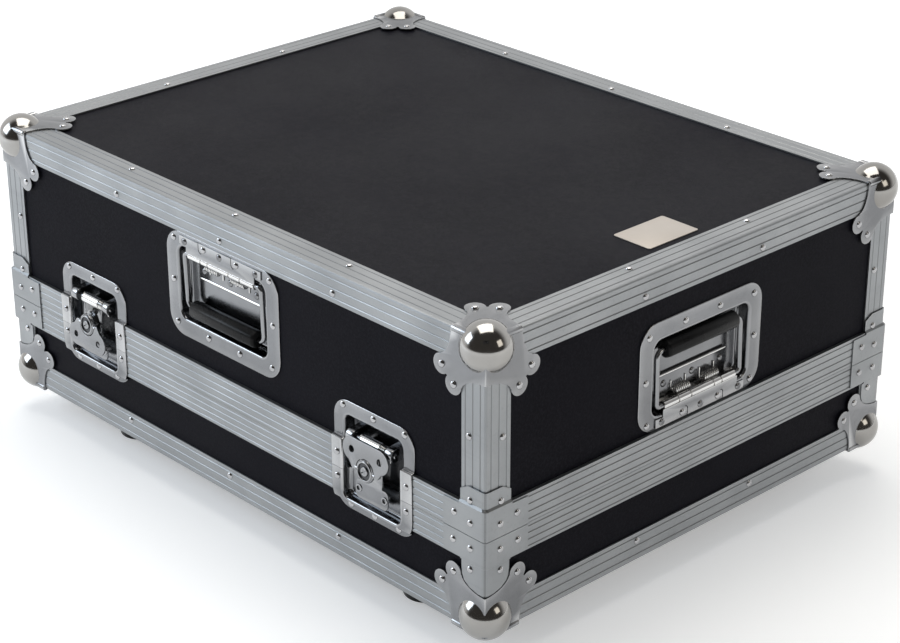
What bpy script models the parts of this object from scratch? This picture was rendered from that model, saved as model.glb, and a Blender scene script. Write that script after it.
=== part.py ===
# Mixer flight case with a lift-off lid. Plywood panels sit in aluminium edge
# extrusions, the lid closes on the base with a tongue and groove profile, and
# four butterfly latches, three sprung handles, eight ball corners, foam linings
# and four rubber feet finish it.
# Units are metres, +Z is up, the front is at -Y and the origin lies on the
# floor under the middle of the case.
#
# Hardware is drawn in a face frame: u runs to the right as seen from outside,
# v runs up and w points out of the case. w = 0 is the outer face of the edge
# extrusions.

import bpy
import bmesh
from math import cos, hypot, pi, radians, sin
from mathutils import Matrix, Vector

# Case
CASE_WIDTH = 0.726
CASE_DEPTH = 0.560
BASE_HEIGHT = 0.100
LID_HEIGHT = 0.194
PANEL_THICK = 0.007
GAP = 0.0003
HAIR = 0.0001

# Double angle edge extrusion
EDGE_LEAF = 0.030
LEAF_THICK = 0.0016
EDGE_BLOCK = 0.011
INNER_LEG = 0.022
INNER_LEG_THICK = 0.0015
ARRIS_RADIUS = 0.002
GROOVE_DEPTH = 0.0005
GROOVE_HALF = 0.0007
EDGE_GROOVES = 3

# Tongue and groove closing profile
CLOSING_PROUD = 0.0022
CLOSING_INNER = 0.015
CLOSING_LID_HEIGHT = 0.030
CLOSING_BASE_HEIGHT = 0.027
CLOSING_SLOT = 0.012
CLOSING_LEG = 0.008
CLOSING_GROOVES = 4
TONGUE_OFFSET = 0.0032
TONGUE_WIDTH = 0.004
TONGUE_HEIGHT = 0.004
TONGUE_PLAY = 0.0004

# Corner braces on the closing profile
BRACE_THICK = 0.0012
BRACE_REACH = 0.050
BRACE_TOP = 0.048
BRACE_RADIUS = 0.004
BRACE_CHAMFER = 0.010
BRACE_CHAMFER_HEIGHT = 0.0055
BRACE_TIP = 0.004

# Ball corners
BALL_RADIUS = 0.0242
BALL_INSET = 0.014
CORNER_SHEET = 0.0012
CORNER_ARCH = 0.042
CORNER_ARCH_END = 0.057
CORNER_EAR = 0.0098
EAR_FAR = 0.054
EAR_NEAR = 0.039
BEAD_RADIUS = 0.0034
BEAD_INSET = 0.0006
SHEET_OVERLAP = 0.0005

# Pressed dishes
DISH_SHEET = 0.0012
DISH_LIP = 0.001
DISH_DRAFT = 0.0015
DISH_CLEAR = 0.0005

# Butterfly latches
LATCH_WIDTH = 0.110
LATCH_HEIGHT = 0.112
LATCH_CORNER = 0.020
LATCH_HEIGHT_ABOVE_SEAM = 0.015
LATCH_INSET = 0.1465
LATCH_OPEN_HALF = 0.0395
LATCH_OPEN_TOP = 0.0415
LATCH_OPEN_BOTTOM = 0.0432
LATCH_OPEN_RADIUS = 0.007
LATCH_LID_DEPTH = 0.011
LATCH_BASE_DEPTH = 0.005
JOGGLE_RAMP = 0.002
JOGGLE_LOW = 0.046
AXLE_RADIUS = 0.0025
AXLE_HEIGHT = 0.0245
AXLE_OUT = 0.0005
BRACKET_RADIUS = 0.0065
BRACKET_INNER = 0.022
BRACKET_OUTER = 0.031
BARREL_RADIUS = 0.006
BARREL_HALF = 0.0205
RUNNING_GAP = 0.0003
CARRIER_HALF = 0.0155
CARRIER_SHEET = 0.0015
CARRIER_WALL_DEPTH = 0.0085
CARRIER_WALL_LOW = 0.009
CARRIER_PLATE_LOW = 0.014
REST_TILT = 3.5
ROTOR_RADIUS = 0.0115
ROTOR_FRONT = 0.0108
ROTOR_THICK = 0.0042
POST_RADIUS = 0.0088
POST_PLAY = 0.0005
CAM_RADIUS = 0.003
CAM_OFFSET = 0.00245
CAM_PLAY = 0.00095
CAM_HEAD = 0.005
HOOK_HALF = 0.0132
HOOK_TOP = 0.0128
HOOK_TEE_HALF = 0.022
HOOK_TEE_TOP = 0.017
HOOK_LOW = 0.036
HOOK_CORNER = 0.005
HOOK_LIP_DEPTH = 0.0042
HOOK_LIP_HALF = 0.014
KEEPER_HALF = 0.014
KEEPER_HEIGHT = 0.0028
KEEPER_THICK = 0.0033
WING_THICK = 0.0016
WING_LOBE_RADIUS = 0.012
WING_LOBE_OUT = 0.019
WING_LOBE_UP = 0.016
WING_EAR_OUT = 0.017
WING_EAR_DROP = 0.0024
WING_CLEAR = 0.0007
WING_HOLE = 0.0035
WING_PIN = 0.0014

# Sprung handles
HANDLE_WIDTH = 0.170
HANDLE_HEIGHT = 0.111
HANDLE_CORNER = 0.022
HANDLE_OPEN_HALF = 0.0665
HANDLE_OPEN_TOP = 0.041
HANDLE_OPEN_BOTTOM = 0.0365
HANDLE_OPEN_RADIUS = 0.010
HANDLE_DEPTH = 0.014
HINGE_HALF = 0.062
HINGE_TOP = 0.053
HINGE_STEP = 0.044
HINGE_NARROW = 0.052
HINGE_SHEET = 0.0015
HINGE_PIN_UP = 0.034
HINGE_PIN_IN = 0.0028
HINGE_BARREL = 0.0042
HINGE_BARREL_HALF = 0.050
SPRING_LEAF_HALF = 0.047
SPRING_LEAF_LOW = 0.016
SPRING_LEAF_IN = 0.0080
ARM_OUTER = 0.061
WIRE_RADIUS = 0.0028
WIRE_BEND_PIN = 0.004
WIRE_BEND_GRIP = 0.008
WIRE_BEND_STEPS = 3
GRIP_DROP = 0.023
GRIP_IN = 0.0042
GRIP_RADIUS = 0.0093
GRIP_HALF = 0.0495

# Rubber feet
FOOT_HEIGHT = 0.035
FOOT_TOP_RADIUS = 0.025
FOOT_RADIUS = 0.023
FOOT_RECESS_RADIUS = 0.009
FOOT_RECESS_DEPTH = 0.020
FOOT_END_INSET = 0.137
FOOT_SIDE_INSET = 0.056

# Foam lining
FOAM_THICK = 0.010
FOAM_BELOW_SEAM = 0.012
FOAM_ABOVE_SEAM = 0.006

# Facets
ROUND_STEPS = 12
ARC_STEPS = 3

# Sizes that follow from the ones above
HALF_WIDTH = CASE_WIDTH / 2
HALF_DEPTH = CASE_DEPTH / 2
SEAM = FOOT_HEIGHT + BASE_HEIGHT
SHELL_TOP = SEAM + LID_HEIGHT
PANEL_FACE = LEAF_THICK + GAP
PANEL_BACK = PANEL_FACE + PANEL_THICK
SLOT_BACK = PANEL_BACK + GAP
PANEL_EDGE = EDGE_BLOCK + GAP
CLOSING_TOP = SEAM + CLOSING_LID_HEIGHT
CLOSING_LOW = SEAM - CLOSING_BASE_HEIGHT
LATCH_Z = SEAM + LATCH_HEIGHT_ABOVE_SEAM
FLANGE_LOW = -PANEL_FACE + GAP
JOGGLE = CLOSING_PROUD + GAP - FLANGE_LOW
ROTOR_BACK = ROTOR_FRONT - ROTOR_THICK
WING_OUT = ROTOR_FRONT - ROTOR_THICK / 2
BRACE_FACE = CLOSING_PROUD + BRACE_THICK
FOAM_OUTER = max(CLOSING_INNER, HANDLE_DEPTH + DISH_SHEET) + GAP
EDGE_REACH = SLOT_BACK + INNER_LEG_THICK

# Finishes: colour, roughness, metallic
LAMINATE = ((0.018, 0.017, 0.018), 0.45, 0.0)
EXTRUSION = ((0.62, 0.64, 0.65), 0.38, 1.0)
ZINC = ((0.66, 0.67, 0.69), 0.24, 1.0)
CHROME = ((0.74, 0.74, 0.75), 0.10, 1.0)
RUBBER = ((0.014, 0.014, 0.015), 0.60, 0.0)
FOAM = ((0.030, 0.030, 0.032), 0.95, 0.0)


def clear_scene():
    for obj in list(bpy.data.objects):
        bpy.data.objects.remove(obj)


def material(name, finish):
    colour, roughness, metallic = finish
    mat = bpy.data.materials.new(name)
    mat.use_nodes = True
    shader = mat.node_tree.nodes["Principled BSDF"]
    shader.inputs["Base Color"].default_value = (*colour, 1.0)
    shader.inputs["Roughness"].default_value = roughness
    shader.inputs["Metallic"].default_value = metallic
    return mat


def add_object(name, mesh, finish, placement=None, parent=None):
    obj = bpy.data.objects.new(name, mesh)
    bpy.context.collection.objects.link(obj)
    if not mesh.materials:
        mesh.materials.append(None)
    obj.material_slots[0].link = "OBJECT"
    obj.material_slots[0].material = material(name, finish)
    obj.parent = parent
    if placement is not None:
        obj.matrix_local = placement
    return obj


def add_empty(name, placement):
    empty = bpy.data.objects.new(name, None)
    empty.empty_display_size = 0.02
    empty.matrix_local = placement
    bpy.context.collection.objects.link(empty)
    return empty


def to_mesh(name, bm, smooth=None):
    bmesh.ops.recalc_face_normals(bm, faces=bm.faces)
    mesh = bpy.data.meshes.new(name)
    bm.to_mesh(mesh)
    bm.free()
    if smooth:
        mesh.shade_smooth()
        mesh.set_sharp_from_angle(angle=radians(smooth))
    return mesh


def combined(name, steps, smooth=None):
    # Joins and cuts closed bodies in turn: steps holds (operation, body).
    bodies = []
    for operation, bm in steps:
        bodies.append(bpy.data.objects.new(name, to_mesh(name, bm)))
        bpy.context.collection.objects.link(bodies[-1])
    first = bodies[0]
    for (operation, bm), tool in zip(steps[1:], bodies[1:]):
        modifier = first.modifiers.new(operation, "BOOLEAN")
        modifier.operation = operation
        modifier.object = tool
    bpy.context.view_layer.update()
    settled = first.evaluated_get(bpy.context.evaluated_depsgraph_get())
    mesh = bpy.data.meshes.new_from_object(settled)
    for body in bodies:
        bpy.data.objects.remove(body)
    mesh.name = name
    if smooth:
        mesh.shade_smooth()
        mesh.set_sharp_from_angle(angle=radians(smooth))
    return mesh


def loft(loops, closed=False):
    # Bridges loops of equal length, with a cap on each end unless closed.
    bm = bmesh.new()
    rings = []
    for loop in loops:
        rings.append([bm.verts.new(point) for point in loop])
    count = len(rings[0])
    pairs = list(zip(rings, rings[1:]))
    if closed:
        pairs.append((rings[-1], rings[0]))
    for low, high in pairs:
        for i in range(count):
            j = (i + 1) % count
            bm.faces.new((low[i], low[j], high[j], high[i]))
    if not closed:
        bm.faces.new(rings[0])
        bm.faces.new(rings[-1])
    return bm


def prism(outline, low, high):
    return loft([[(x, y, low) for x, y in outline], [(x, y, high) for x, y in outline]])


def turned(profile, steps=ROUND_STEPS, centre=(0.0, 0.0)):
    # A solid of revolution about w from (radius, height) points.
    loops = []
    for radius, height in profile:
        ring = arc(centre[0], centre[1], radius, 0, 360, steps)[:-1]
        loops.append([(x, y, height) for x, y in ring])
    return loft(loops)


def along_u(bm):
    # Turns a body drawn along w so that it lies along u.
    bmesh.ops.rotate(bm, verts=bm.verts, cent=(0, 0, 0), matrix=Matrix.Rotation(pi / 2, 3, "Y"))
    return bm


def moved(bm, offset):
    bmesh.ops.translate(bm, verts=bm.verts, vec=offset)
    return bm


def rod(radius, low, high, v, w, steps=ROUND_STEPS):
    return moved(along_u(turned([(radius, low), (radius, high)], steps)), (0, v, w))


def arc(cx, cy, radius, start, end, steps=ARC_STEPS):
    points = []
    for i in range(steps + 1):
        angle = radians(start + (end - start) * i / steps)
        points.append((cx + radius * cos(angle), cy + radius * sin(angle)))
    return points


def rounded_rect(x0, x1, y0, y1, radius, steps=ARC_STEPS):
    points = arc(x1 - radius, y1 - radius, radius, 0, 90, steps)
    points += arc(x0 + radius, y1 - radius, radius, 90, 180, steps)
    points += arc(x0 + radius, y0 + radius, radius, 180, 270, steps)
    points += arc(x1 - radius, y0 + radius, radius, 270, 360, steps)
    return points


def box(x0, x1, y0, y1, z0, z1):
    return prism([(x0, y0), (x1, y0), (x1, y1), (x0, y1)], z0, z1)


def grooved_run(start, end, count):
    # Distances along a ribbed face: each V groove gives (distance, depth).
    points = []
    pitch = (end - start) / count
    for i in range(count):
        middle = start + pitch * (i + 0.5)
        points += [(middle - GROOVE_HALF, 0.0), (middle, GROOVE_DEPTH), (middle + GROOVE_HALF, 0.0)]
    return points


def edge_profile(grooved=True):
    # (p, q): distances inward from the two faces that meet at the arris.
    grooves = grooved_run(ARRIS_RADIUS, EDGE_LEAF, EDGE_GROOVES) if grooved else []
    inner = [
        (EDGE_LEAF, 0.0),
        (EDGE_LEAF, LEAF_THICK),
        (EDGE_BLOCK, LEAF_THICK),
        (EDGE_BLOCK, SLOT_BACK),
        (INNER_LEG, SLOT_BACK),
        (INNER_LEG, EDGE_REACH),
    ]
    outer = [(ARRIS_RADIUS, 0.0)] + grooves
    half = outer + inner
    arris = arc(ARRIS_RADIUS, ARRIS_RADIUS, ARRIS_RADIUS, 180, 270, 2)[1:-1]
    mirrored = [(q, p) for p, q in reversed(half)]
    return half + [(EDGE_REACH, EDGE_REACH)] + mirrored + arris


def ring(profile):
    # Sweeps an (outward, z) profile round the case with mitred corners.
    loops = []
    for sx, sy in ((1, 1), (-1, 1), (-1, -1), (1, -1)):
        loops.append([(sx * (HALF_WIDTH + o), sy * (HALF_DEPTH + o), z) for o, z in profile])
    return loft(loops, closed=True)


def upright(sx, sy, low, high, grooved=True):
    # One vertical edge extrusion, a hair inside the rings that it joins.
    x = HALF_WIDTH - HAIR
    y = HALF_DEPTH - HAIR
    return prism([(sx * (x - p), sy * (y - q)) for p, q in edge_profile(grooved)], low, high)


def angle_section(reach, inner, outer, z):
    # Plan of an angle plate round the +X +Y arris, reaching along both faces.
    x, y = HALF_WIDTH, HALF_DEPTH
    points = [(x - reach, y + inner), (x + inner, y + inner), (x + inner, y - reach)]
    points.append((x + outer, y - reach))
    points += arc(x + outer - BRACE_RADIUS, y + outer - BRACE_RADIUS, BRACE_RADIUS, 0, 90, 3)
    points.append((x - reach, y + outer))
    return [(px, py, z) for px, py in points]


def mirrored_to(bm, sx, sy):
    bmesh.ops.scale(bm, verts=bm.verts, vec=(sx, sy, 1))
    return bm


def lid_brace(sx, sy):
    # It runs up onto the leaf of the upright with a step down.
    top = SEAM + BRACE_TOP
    stations = [
        (SEAM + GAP, BRACE_REACH, BRACE_FACE),
        (CLOSING_TOP - JOGGLE_RAMP, BRACE_REACH, BRACE_FACE),
        (CLOSING_TOP - JOGGLE_RAMP + GAP, EDGE_LEAF, BRACE_FACE),
        (CLOSING_TOP, EDGE_LEAF, BRACE_FACE),
        (CLOSING_TOP + JOGGLE_RAMP, EDGE_LEAF, GAP + BRACE_THICK),
        (top - BRACE_CHAMFER_HEIGHT, EDGE_LEAF, GAP + BRACE_THICK),
        (top, EDGE_LEAF - BRACE_CHAMFER, GAP + BRACE_THICK),
    ]
    return mirrored_to(loft([angle_section(a, GAP, out, z) for z, a, out in stations]), sx, sy)


def base_brace(sx, sy):
    # The lower edge follows the arch of the ball corner below it.
    arch_low = FOOT_HEIGHT + CORNER_ARCH + BRACE_THICK
    arch_high = FOOT_HEIGHT + CORNER_ARCH_END
    half = EAR_NEAR - CORNER_EAR - BRACE_THICK
    low_face = BRACE_THICK
    stations = [
        (SEAM - GAP, BRACE_REACH, BRACE_FACE),
        (CLOSING_LOW + JOGGLE_RAMP, BRACE_REACH, BRACE_FACE),
        (CLOSING_LOW + JOGGLE_RAMP - GAP, half, BRACE_FACE),
        (CLOSING_LOW, half, BRACE_FACE),
        (CLOSING_LOW - JOGGLE_RAMP, half, low_face),
    ]
    for i in range(4):
        angle = radians(80 * i / 3)
        drop = (arch_high - arch_low) * sin(angle)
        stations.append((arch_high - drop, BRACE_TIP + (half - BRACE_TIP) * cos(angle), low_face))
    return mirrored_to(loft([angle_section(a, -GAP, out, z) for z, a, out in stations]), sx, sy)


def closing_lid_profile():
    low = SEAM + GAP / 2
    slot = CLOSING_TOP - CLOSING_SLOT
    outer = CLOSING_PROUD
    groove_out = -TONGUE_OFFSET + TONGUE_PLAY / 2
    groove_in = groove_out - TONGUE_WIDTH - TONGUE_PLAY
    leg_top = slot + CLOSING_LEG
    leg_back = SLOT_BACK + INNER_LEG_THICK
    points = [(outer, low)]
    points += [(outer - d, low + s) for s, d in grooved_run(0, CLOSING_LID_HEIGHT, CLOSING_GROOVES)]
    points += [(outer, CLOSING_TOP), (-LEAF_THICK, CLOSING_TOP), (-LEAF_THICK, slot)]
    points += [(-SLOT_BACK, slot), (-SLOT_BACK, leg_top), (-leg_back, leg_top), (-leg_back, slot)]
    points += [(-CLOSING_INNER, slot - INNER_LEG_THICK * 2), (-CLOSING_INNER, low)]
    points += [(groove_in, low), (groove_in, low + TONGUE_HEIGHT + TONGUE_PLAY)]
    points += [(groove_out, low + TONGUE_HEIGHT + TONGUE_PLAY), (groove_out, low)]
    return points


def closing_base_profile():
    high = SEAM - GAP / 2
    slot = CLOSING_LOW + CLOSING_SLOT
    outer = CLOSING_PROUD
    tongue_in = -TONGUE_OFFSET - TONGUE_WIDTH
    leg_low = slot - CLOSING_LEG
    leg_back = SLOT_BACK + INNER_LEG_THICK
    points = [(outer, high)]
    points += [(outer - d, high - s) for s, d in grooved_run(0, CLOSING_BASE_HEIGHT, CLOSING_GROOVES)]
    points += [(outer, CLOSING_LOW), (-LEAF_THICK, CLOSING_LOW), (-LEAF_THICK, slot)]
    points += [(-SLOT_BACK, slot), (-SLOT_BACK, leg_low), (-leg_back, leg_low), (-leg_back, slot)]
    points += [(-CLOSING_INNER, slot + INNER_LEG_THICK * 2), (-CLOSING_INNER, high)]
    points += [(tongue_in, high), (tongue_in, high + TONGUE_HEIGHT)]
    points += [(-TONGUE_OFFSET, high + TONGUE_HEIGHT), (-TONGUE_OFFSET, high)]
    return points


def face_frame(side):
    # Matrix from a side's (u, v, w) to the case.
    axes = {
        "front": ((1, 0, 0), (0, -1, 0), HALF_DEPTH),
        "rear": ((-1, 0, 0), (0, 1, 0), HALF_DEPTH),
        "right": ((0, 1, 0), (1, 0, 0), HALF_WIDTH),
        "left": ((0, -1, 0), (-1, 0, 0), HALF_WIDTH),
    }
    along, out, reach = axes[side]
    up = (0, 0, 1)
    rotation = Matrix((along, up, out)).transposed().to_4x4()
    return Matrix.Translation(Vector(out) * reach) @ rotation


LATCH_SITES = {
    "front_left": ("front", LATCH_INSET - HALF_WIDTH),
    "front_right": ("front", HALF_WIDTH - LATCH_INSET),
    "rear_left": ("rear", HALF_WIDTH - LATCH_INSET),
    "rear_right": ("rear", LATCH_INSET - HALF_WIDTH),
}

# Handles rest against the edge that carries their hinge: the front one hangs
# below the top extrusion, the side ones stand on the closing profile.
FRONT_HANDLE_Z = SHELL_TOP - EDGE_LEAF - GAP - HANDLE_HEIGHT / 2
SIDE_HANDLE_Z = CLOSING_TOP + GAP + HANDLE_HEIGHT / 2
HANDLE_SITES = {
    "front": ("front", FRONT_HANDLE_Z, 0),
    "right": ("right", SIDE_HANDLE_Z, 180),
    "left": ("left", SIDE_HANDLE_Z, 180),
}


def latch_frame(site):
    side, u = LATCH_SITES[site]
    return face_frame(side) @ Matrix.Translation((u, LATCH_Z, 0))


def handle_frame(site):
    side, height, turn = HANDLE_SITES[site]
    upright_frame = face_frame(side) @ Matrix.Translation((0, height, 0))
    return upright_frame @ Matrix.Rotation(radians(turn), 4, "Z")


def placed(bm, matrix):
    bmesh.ops.transform(bm, matrix=matrix, verts=bm.verts)
    return bm


def latch_notch(site, depth, low, high):
    # Clearance round a latch dish, from low to high above the latch centre.
    half = LATCH_OPEN_HALF + DISH_SHEET + DISH_CLEAR
    return placed(box(-half, half, low, high, -depth, 0.02), latch_frame(site))


def handle_hole(site):
    room = DISH_SHEET + DISH_CLEAR
    outline = rounded_rect(
        -HANDLE_OPEN_HALF - room, HANDLE_OPEN_HALF + room,
        -HANDLE_OPEN_BOTTOM - room, HANDLE_OPEN_TOP + room, HANDLE_OPEN_RADIUS,
    )
    return placed(prism(outline, -0.02, 0.02), handle_frame(site))


def build_frames():
    lid_depth = LATCH_LID_DEPTH + DISH_SHEET + GAP
    base_depth = LATCH_BASE_DEPTH + DISH_SHEET + GAP
    seam_v = -LATCH_HEIGHT_ABOVE_SEAM
    corners = ((1, 1), (-1, 1), (-1, -1), (1, -1))
    overlap = 0.003

    profile = edge_profile()
    top_ring = ring([(-p, SHELL_TOP - q) for p, q in profile])
    steps = [("UNION", top_ring)]
    for sx, sy in corners:
        steps.append(("UNION", upright(sx, sy, CLOSING_TOP + GAP, SHELL_TOP - EDGE_LEAF + overlap)))
    add_object("lid_edge_extrusions", combined("lid_edge", steps, 40), EXTRUSION)

    steps = [("UNION", ring(closing_lid_profile()))]
    for site in LATCH_SITES:
        steps.append(("DIFFERENCE", latch_notch(site, lid_depth, seam_v - 0.01, LATCH_HEIGHT / 2)))
    for sx, sy in corners:
        steps.append(("UNION", lid_brace(sx, sy)))
    add_object("lid_closing_frame", combined("lid_closing", steps, 40), EXTRUSION)

    steps = [("UNION", ring(closing_base_profile()))]
    for site in LATCH_SITES:
        steps.append(("DIFFERENCE", latch_notch(site, base_depth, -LATCH_HEIGHT / 2, seam_v + 0.01)))
        steps.append(("DIFFERENCE", latch_notch(site, lid_depth, seam_v - GAP / 2, seam_v + 0.01)))
    steps.append(("UNION", ring([(-p, FOOT_HEIGHT + q) for p, q in profile])))
    for sx, sy in corners:
        low = FOOT_HEIGHT + EDGE_LEAF - overlap
        steps.append(("UNION", upright(sx, sy, low, CLOSING_LOW + overlap, grooved=False)))
        steps.append(("UNION", base_brace(sx, sy)))
    add_object("base_frame", combined("base_frame", steps, 40), EXTRUSION)


def panel_body(side, half, low, high):
    return placed(box(-half, half, low, high, -PANEL_BACK, -PANEL_FACE), face_frame(side))


def build_panels():
    inner_x = HALF_WIDTH - PANEL_EDGE
    inner_y = HALF_DEPTH - PANEL_EDGE
    top = box(-inner_x, inner_x, -inner_y, inner_y, SHELL_TOP - PANEL_BACK, SHELL_TOP - PANEL_FACE)
    add_object("lid_top_panel", to_mesh("lid_top_panel", top), LAMINATE)
    low = FOOT_HEIGHT + PANEL_FACE
    bottom = box(-inner_x, inner_x, -inner_y, inner_y, low, FOOT_HEIGHT + PANEL_BACK)
    add_object("base_bottom_panel", to_mesh("base_bottom_panel", bottom), LAMINATE)

    lid_low = CLOSING_TOP - CLOSING_SLOT + GAP
    lid_high = SHELL_TOP - PANEL_EDGE
    base_low = FOOT_HEIGHT + PANEL_EDGE
    base_high = CLOSING_LOW + CLOSING_SLOT - GAP
    room = DISH_SHEET + DISH_CLEAR
    for side, half in (("front", inner_x), ("rear", inner_x), ("right", inner_y), ("left", inner_y)):
        lid_steps = [("UNION", panel_body(side, half, lid_low, lid_high))]
        base_steps = [("UNION", panel_body(side, half, base_low, base_high))]
        for site, (face, u) in LATCH_SITES.items():
            if face == side:
                notch = latch_notch(site, 0.02, -LATCH_HEIGHT, LATCH_OPEN_TOP + room)
                lid_steps.append(("DIFFERENCE", notch))
                notch = latch_notch(site, 0.02, -LATCH_OPEN_BOTTOM - room, LATCH_HEIGHT)
                base_steps.append(("DIFFERENCE", notch))
        if side in HANDLE_SITES:
            lid_steps.append(("DIFFERENCE", handle_hole(side)))
        name = f"lid_{side}_panel"
        add_object(name, combined(name, lid_steps), LAMINATE)
        name = f"base_{side}_panel"
        add_object(name, combined(name, base_steps), LAMINATE)


def corner_outline():
    # Plan of one face plate, in distances from the two arrises.
    edge = SHEET_OVERLAP - GAP - CORNER_SHEET
    side = EAR_NEAR - CORNER_EAR
    sweep = []
    for i in range(3):
        angle = radians(90 * i / 3)
        drop = (CORNER_ARCH_END - CORNER_ARCH) * cos(angle)
        sweep.append((side * sin(angle), CORNER_ARCH_END - drop))
    ear = arc(EAR_NEAR, EAR_FAR, CORNER_EAR, 180, -36, 6)
    half = [(edge, CORNER_ARCH)] + sweep + ear
    other = [(b, a) for a, b in reversed(half)]
    return [(edge, edge)] + half + other


def build_corners():
    # Drawn for the corner whose faces look along +X, +Y and +Z, from its arris.
    outline = [(-a, -b) for a, b in corner_outline()]
    steps = []
    cycle = Matrix(((0, 0, 1, 0), (1, 0, 0, 0), (0, 1, 0, 0), (0, 0, 0, 1)))
    turns = (Matrix.Identity(4), cycle, cycle @ cycle)
    for turn in turns:
        steps.append(("UNION", placed(prism(outline, GAP / 2, GAP + CORNER_SHEET), turn)))
    for turn in turns:
        bead = turned([(BEAD_RADIUS, HAIR * 7 - CORNER_ARCH), (BEAD_RADIUS, -BALL_INSET)], 10)
        moved(bead, (-BEAD_INSET, -BEAD_INSET, 0))
        steps.append(("UNION", placed(bead, turn)))
    ball = bmesh.new()
    bmesh.ops.create_icosphere(ball, subdivisions=2, radius=BALL_RADIUS)
    steps.append(("UNION", moved(ball, (-BALL_INSET, -BALL_INSET, -BALL_INSET))))
    reach = EAR_FAR + CORNER_EAR * 2
    steps.append(("DIFFERENCE", box(-reach, GAP, -reach, GAP, -reach, GAP)))
    mesh = combined("ball_corner", steps, 35)

    flip = Matrix.Rotation(pi, 4, Vector((1, 1, 0)))
    for level, height, tilt in (("lid", SHELL_TOP, Matrix.Identity(4)), ("base", FOOT_HEIGHT, flip)):
        for k, (sx, sy) in enumerate(((1, 1), (-1, 1), (-1, -1), (1, -1))):
            depth_name = "front" if sy < 0 else "rear"
            side_name = "left" if sx < 0 else "right"
            vertex = Matrix.Translation((sx * HALF_WIDTH, sy * HALF_DEPTH, height))
            placement = vertex @ Matrix.Rotation(k * pi / 2, 4, "Z") @ tilt
            add_object(f"{level}_corner_{depth_name}_{side_name}", mesh, CHROME, placement)


def dish(width, height, corner, opening, open_radius, depth):
    # A pressed dish: flange, rolled lip, drafted wall and floor, one sheet thick.
    x0, x1, y0, y1 = opening

    def loop(x0, x1, y0, y1, radius, w):
        return [(x, y, w) for x, y in rounded_rect(x0, x1, y0, y1, radius)]

    def grown(by, w):
        return loop(x0 - by, x1 + by, y0 - by, y1 + by, open_radius + by, w)

    top = FLANGE_LOW + DISH_SHEET
    outer = (-width / 2, width / 2, -height / 2, height / 2, corner)
    loops = [
        grown(-DISH_DRAFT, -depth),
        grown(0, top - DISH_LIP),
        grown(DISH_LIP, top),
        loop(*outer, top),
        loop(*outer, FLANGE_LOW),
        grown(DISH_SHEET, FLANGE_LOW),
        grown(DISH_SHEET - DISH_DRAFT, -depth - DISH_SHEET),
    ]
    return loft(loops)


def sliced(bm, v, keep=0):
    # Cuts across at height v. keep is 1 for the part above, -1 for below.
    geometry = bm.verts[:] + bm.edges[:] + bm.faces[:]
    if keep == 0:
        skin = [f for f in bm.faces if max(vert.co.z for vert in f.verts) > FLANGE_LOW - DISH_LIP]
        edges = {e for f in skin for e in f.edges}
        verts = {vert for f in skin for vert in f.verts}
        geometry = list(verts) + list(edges) + skin
        bmesh.ops.bisect_plane(bm, geom=geometry, plane_co=(0, v, 0), plane_no=(0, 1, 0))
        return bm
    cut = bmesh.ops.bisect_plane(
        bm, geom=geometry, plane_co=(0, v, 0), plane_no=(0, -keep, 0), clear_outer=True
    )
    rim = [e for e in cut["geom_cut"] if isinstance(e, bmesh.types.BMEdge)]
    bmesh.ops.edgeloop_fill(bm, edges=rim)
    return bm


def joggled(bm, low, high):
    # Lifts the flange over the closing profile between low and high.
    for v in (low - JOGGLE_RAMP, low, high, high + JOGGLE_RAMP):
        sliced(bm, v)
    tolerance = GAP / 10
    for vert in bm.verts:
        raised = vert.co.z > FLANGE_LOW - DISH_LIP
        if raised and low - tolerance < vert.co.y < high + tolerance:
            vert.co.z += JOGGLE
    return bm


def latch_dish(depth):
    opening = (-LATCH_OPEN_HALF, LATCH_OPEN_HALF, -LATCH_OPEN_BOTTOM, LATCH_OPEN_TOP)
    bm = dish(LATCH_WIDTH, LATCH_HEIGHT, LATCH_CORNER, opening, LATCH_OPEN_RADIUS, depth)
    high = CLOSING_TOP - LATCH_Z + DISH_CLEAR
    return joggled(bm, -JOGGLE_LOW, high)


def lid_dish_mesh():
    bm = sliced(latch_dish(LATCH_LID_DEPTH), -LATCH_HEIGHT_ABOVE_SEAM + GAP / 2, keep=1)
    floor = -LATCH_LID_DEPTH - DISH_SHEET / 2
    cheek = arc(AXLE_HEIGHT, AXLE_OUT, BRACKET_RADIUS, 0, 180, 6)
    foot = BRACKET_RADIUS + DISH_SHEET
    cheek += [(AXLE_HEIGHT - foot, floor), (AXLE_HEIGHT + foot, floor)]
    steps = [("UNION", bm)]
    for sign in (-1, 1):
        ends = sorted((sign * BRACKET_INNER, sign * BRACKET_OUTER))
        bracket = loft([[(u, v, w) for v, w in cheek] for u in ends])
        steps.append(("UNION", bracket))
    span = (BRACKET_INNER + BRACKET_OUTER) / 2
    steps.append(("UNION", rod(AXLE_RADIUS, -span, span, AXLE_HEIGHT, AXLE_OUT, 12)))
    return combined("latch_lid_dish", steps, 35)


def base_dish_mesh():
    bm = sliced(latch_dish(LATCH_BASE_DEPTH), -LATCH_HEIGHT_ABOVE_SEAM - GAP / 2, keep=-1)
    # The keeper is a ledge that the hook's lip draws up against.
    lip_top = -HOOK_LOW + CARRIER_SHEET + 2 * CAM_OFFSET
    low = lip_top + GAP
    floor = -LATCH_BASE_DEPTH
    ledge = box(-KEEPER_HALF, KEEPER_HALF, low, low + KEEPER_THICK, floor - DISH_SHEET / 2, floor + KEEPER_HEIGHT)
    return combined("latch_base_dish", [("UNION", bm), ("UNION", ledge)], 35)


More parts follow.
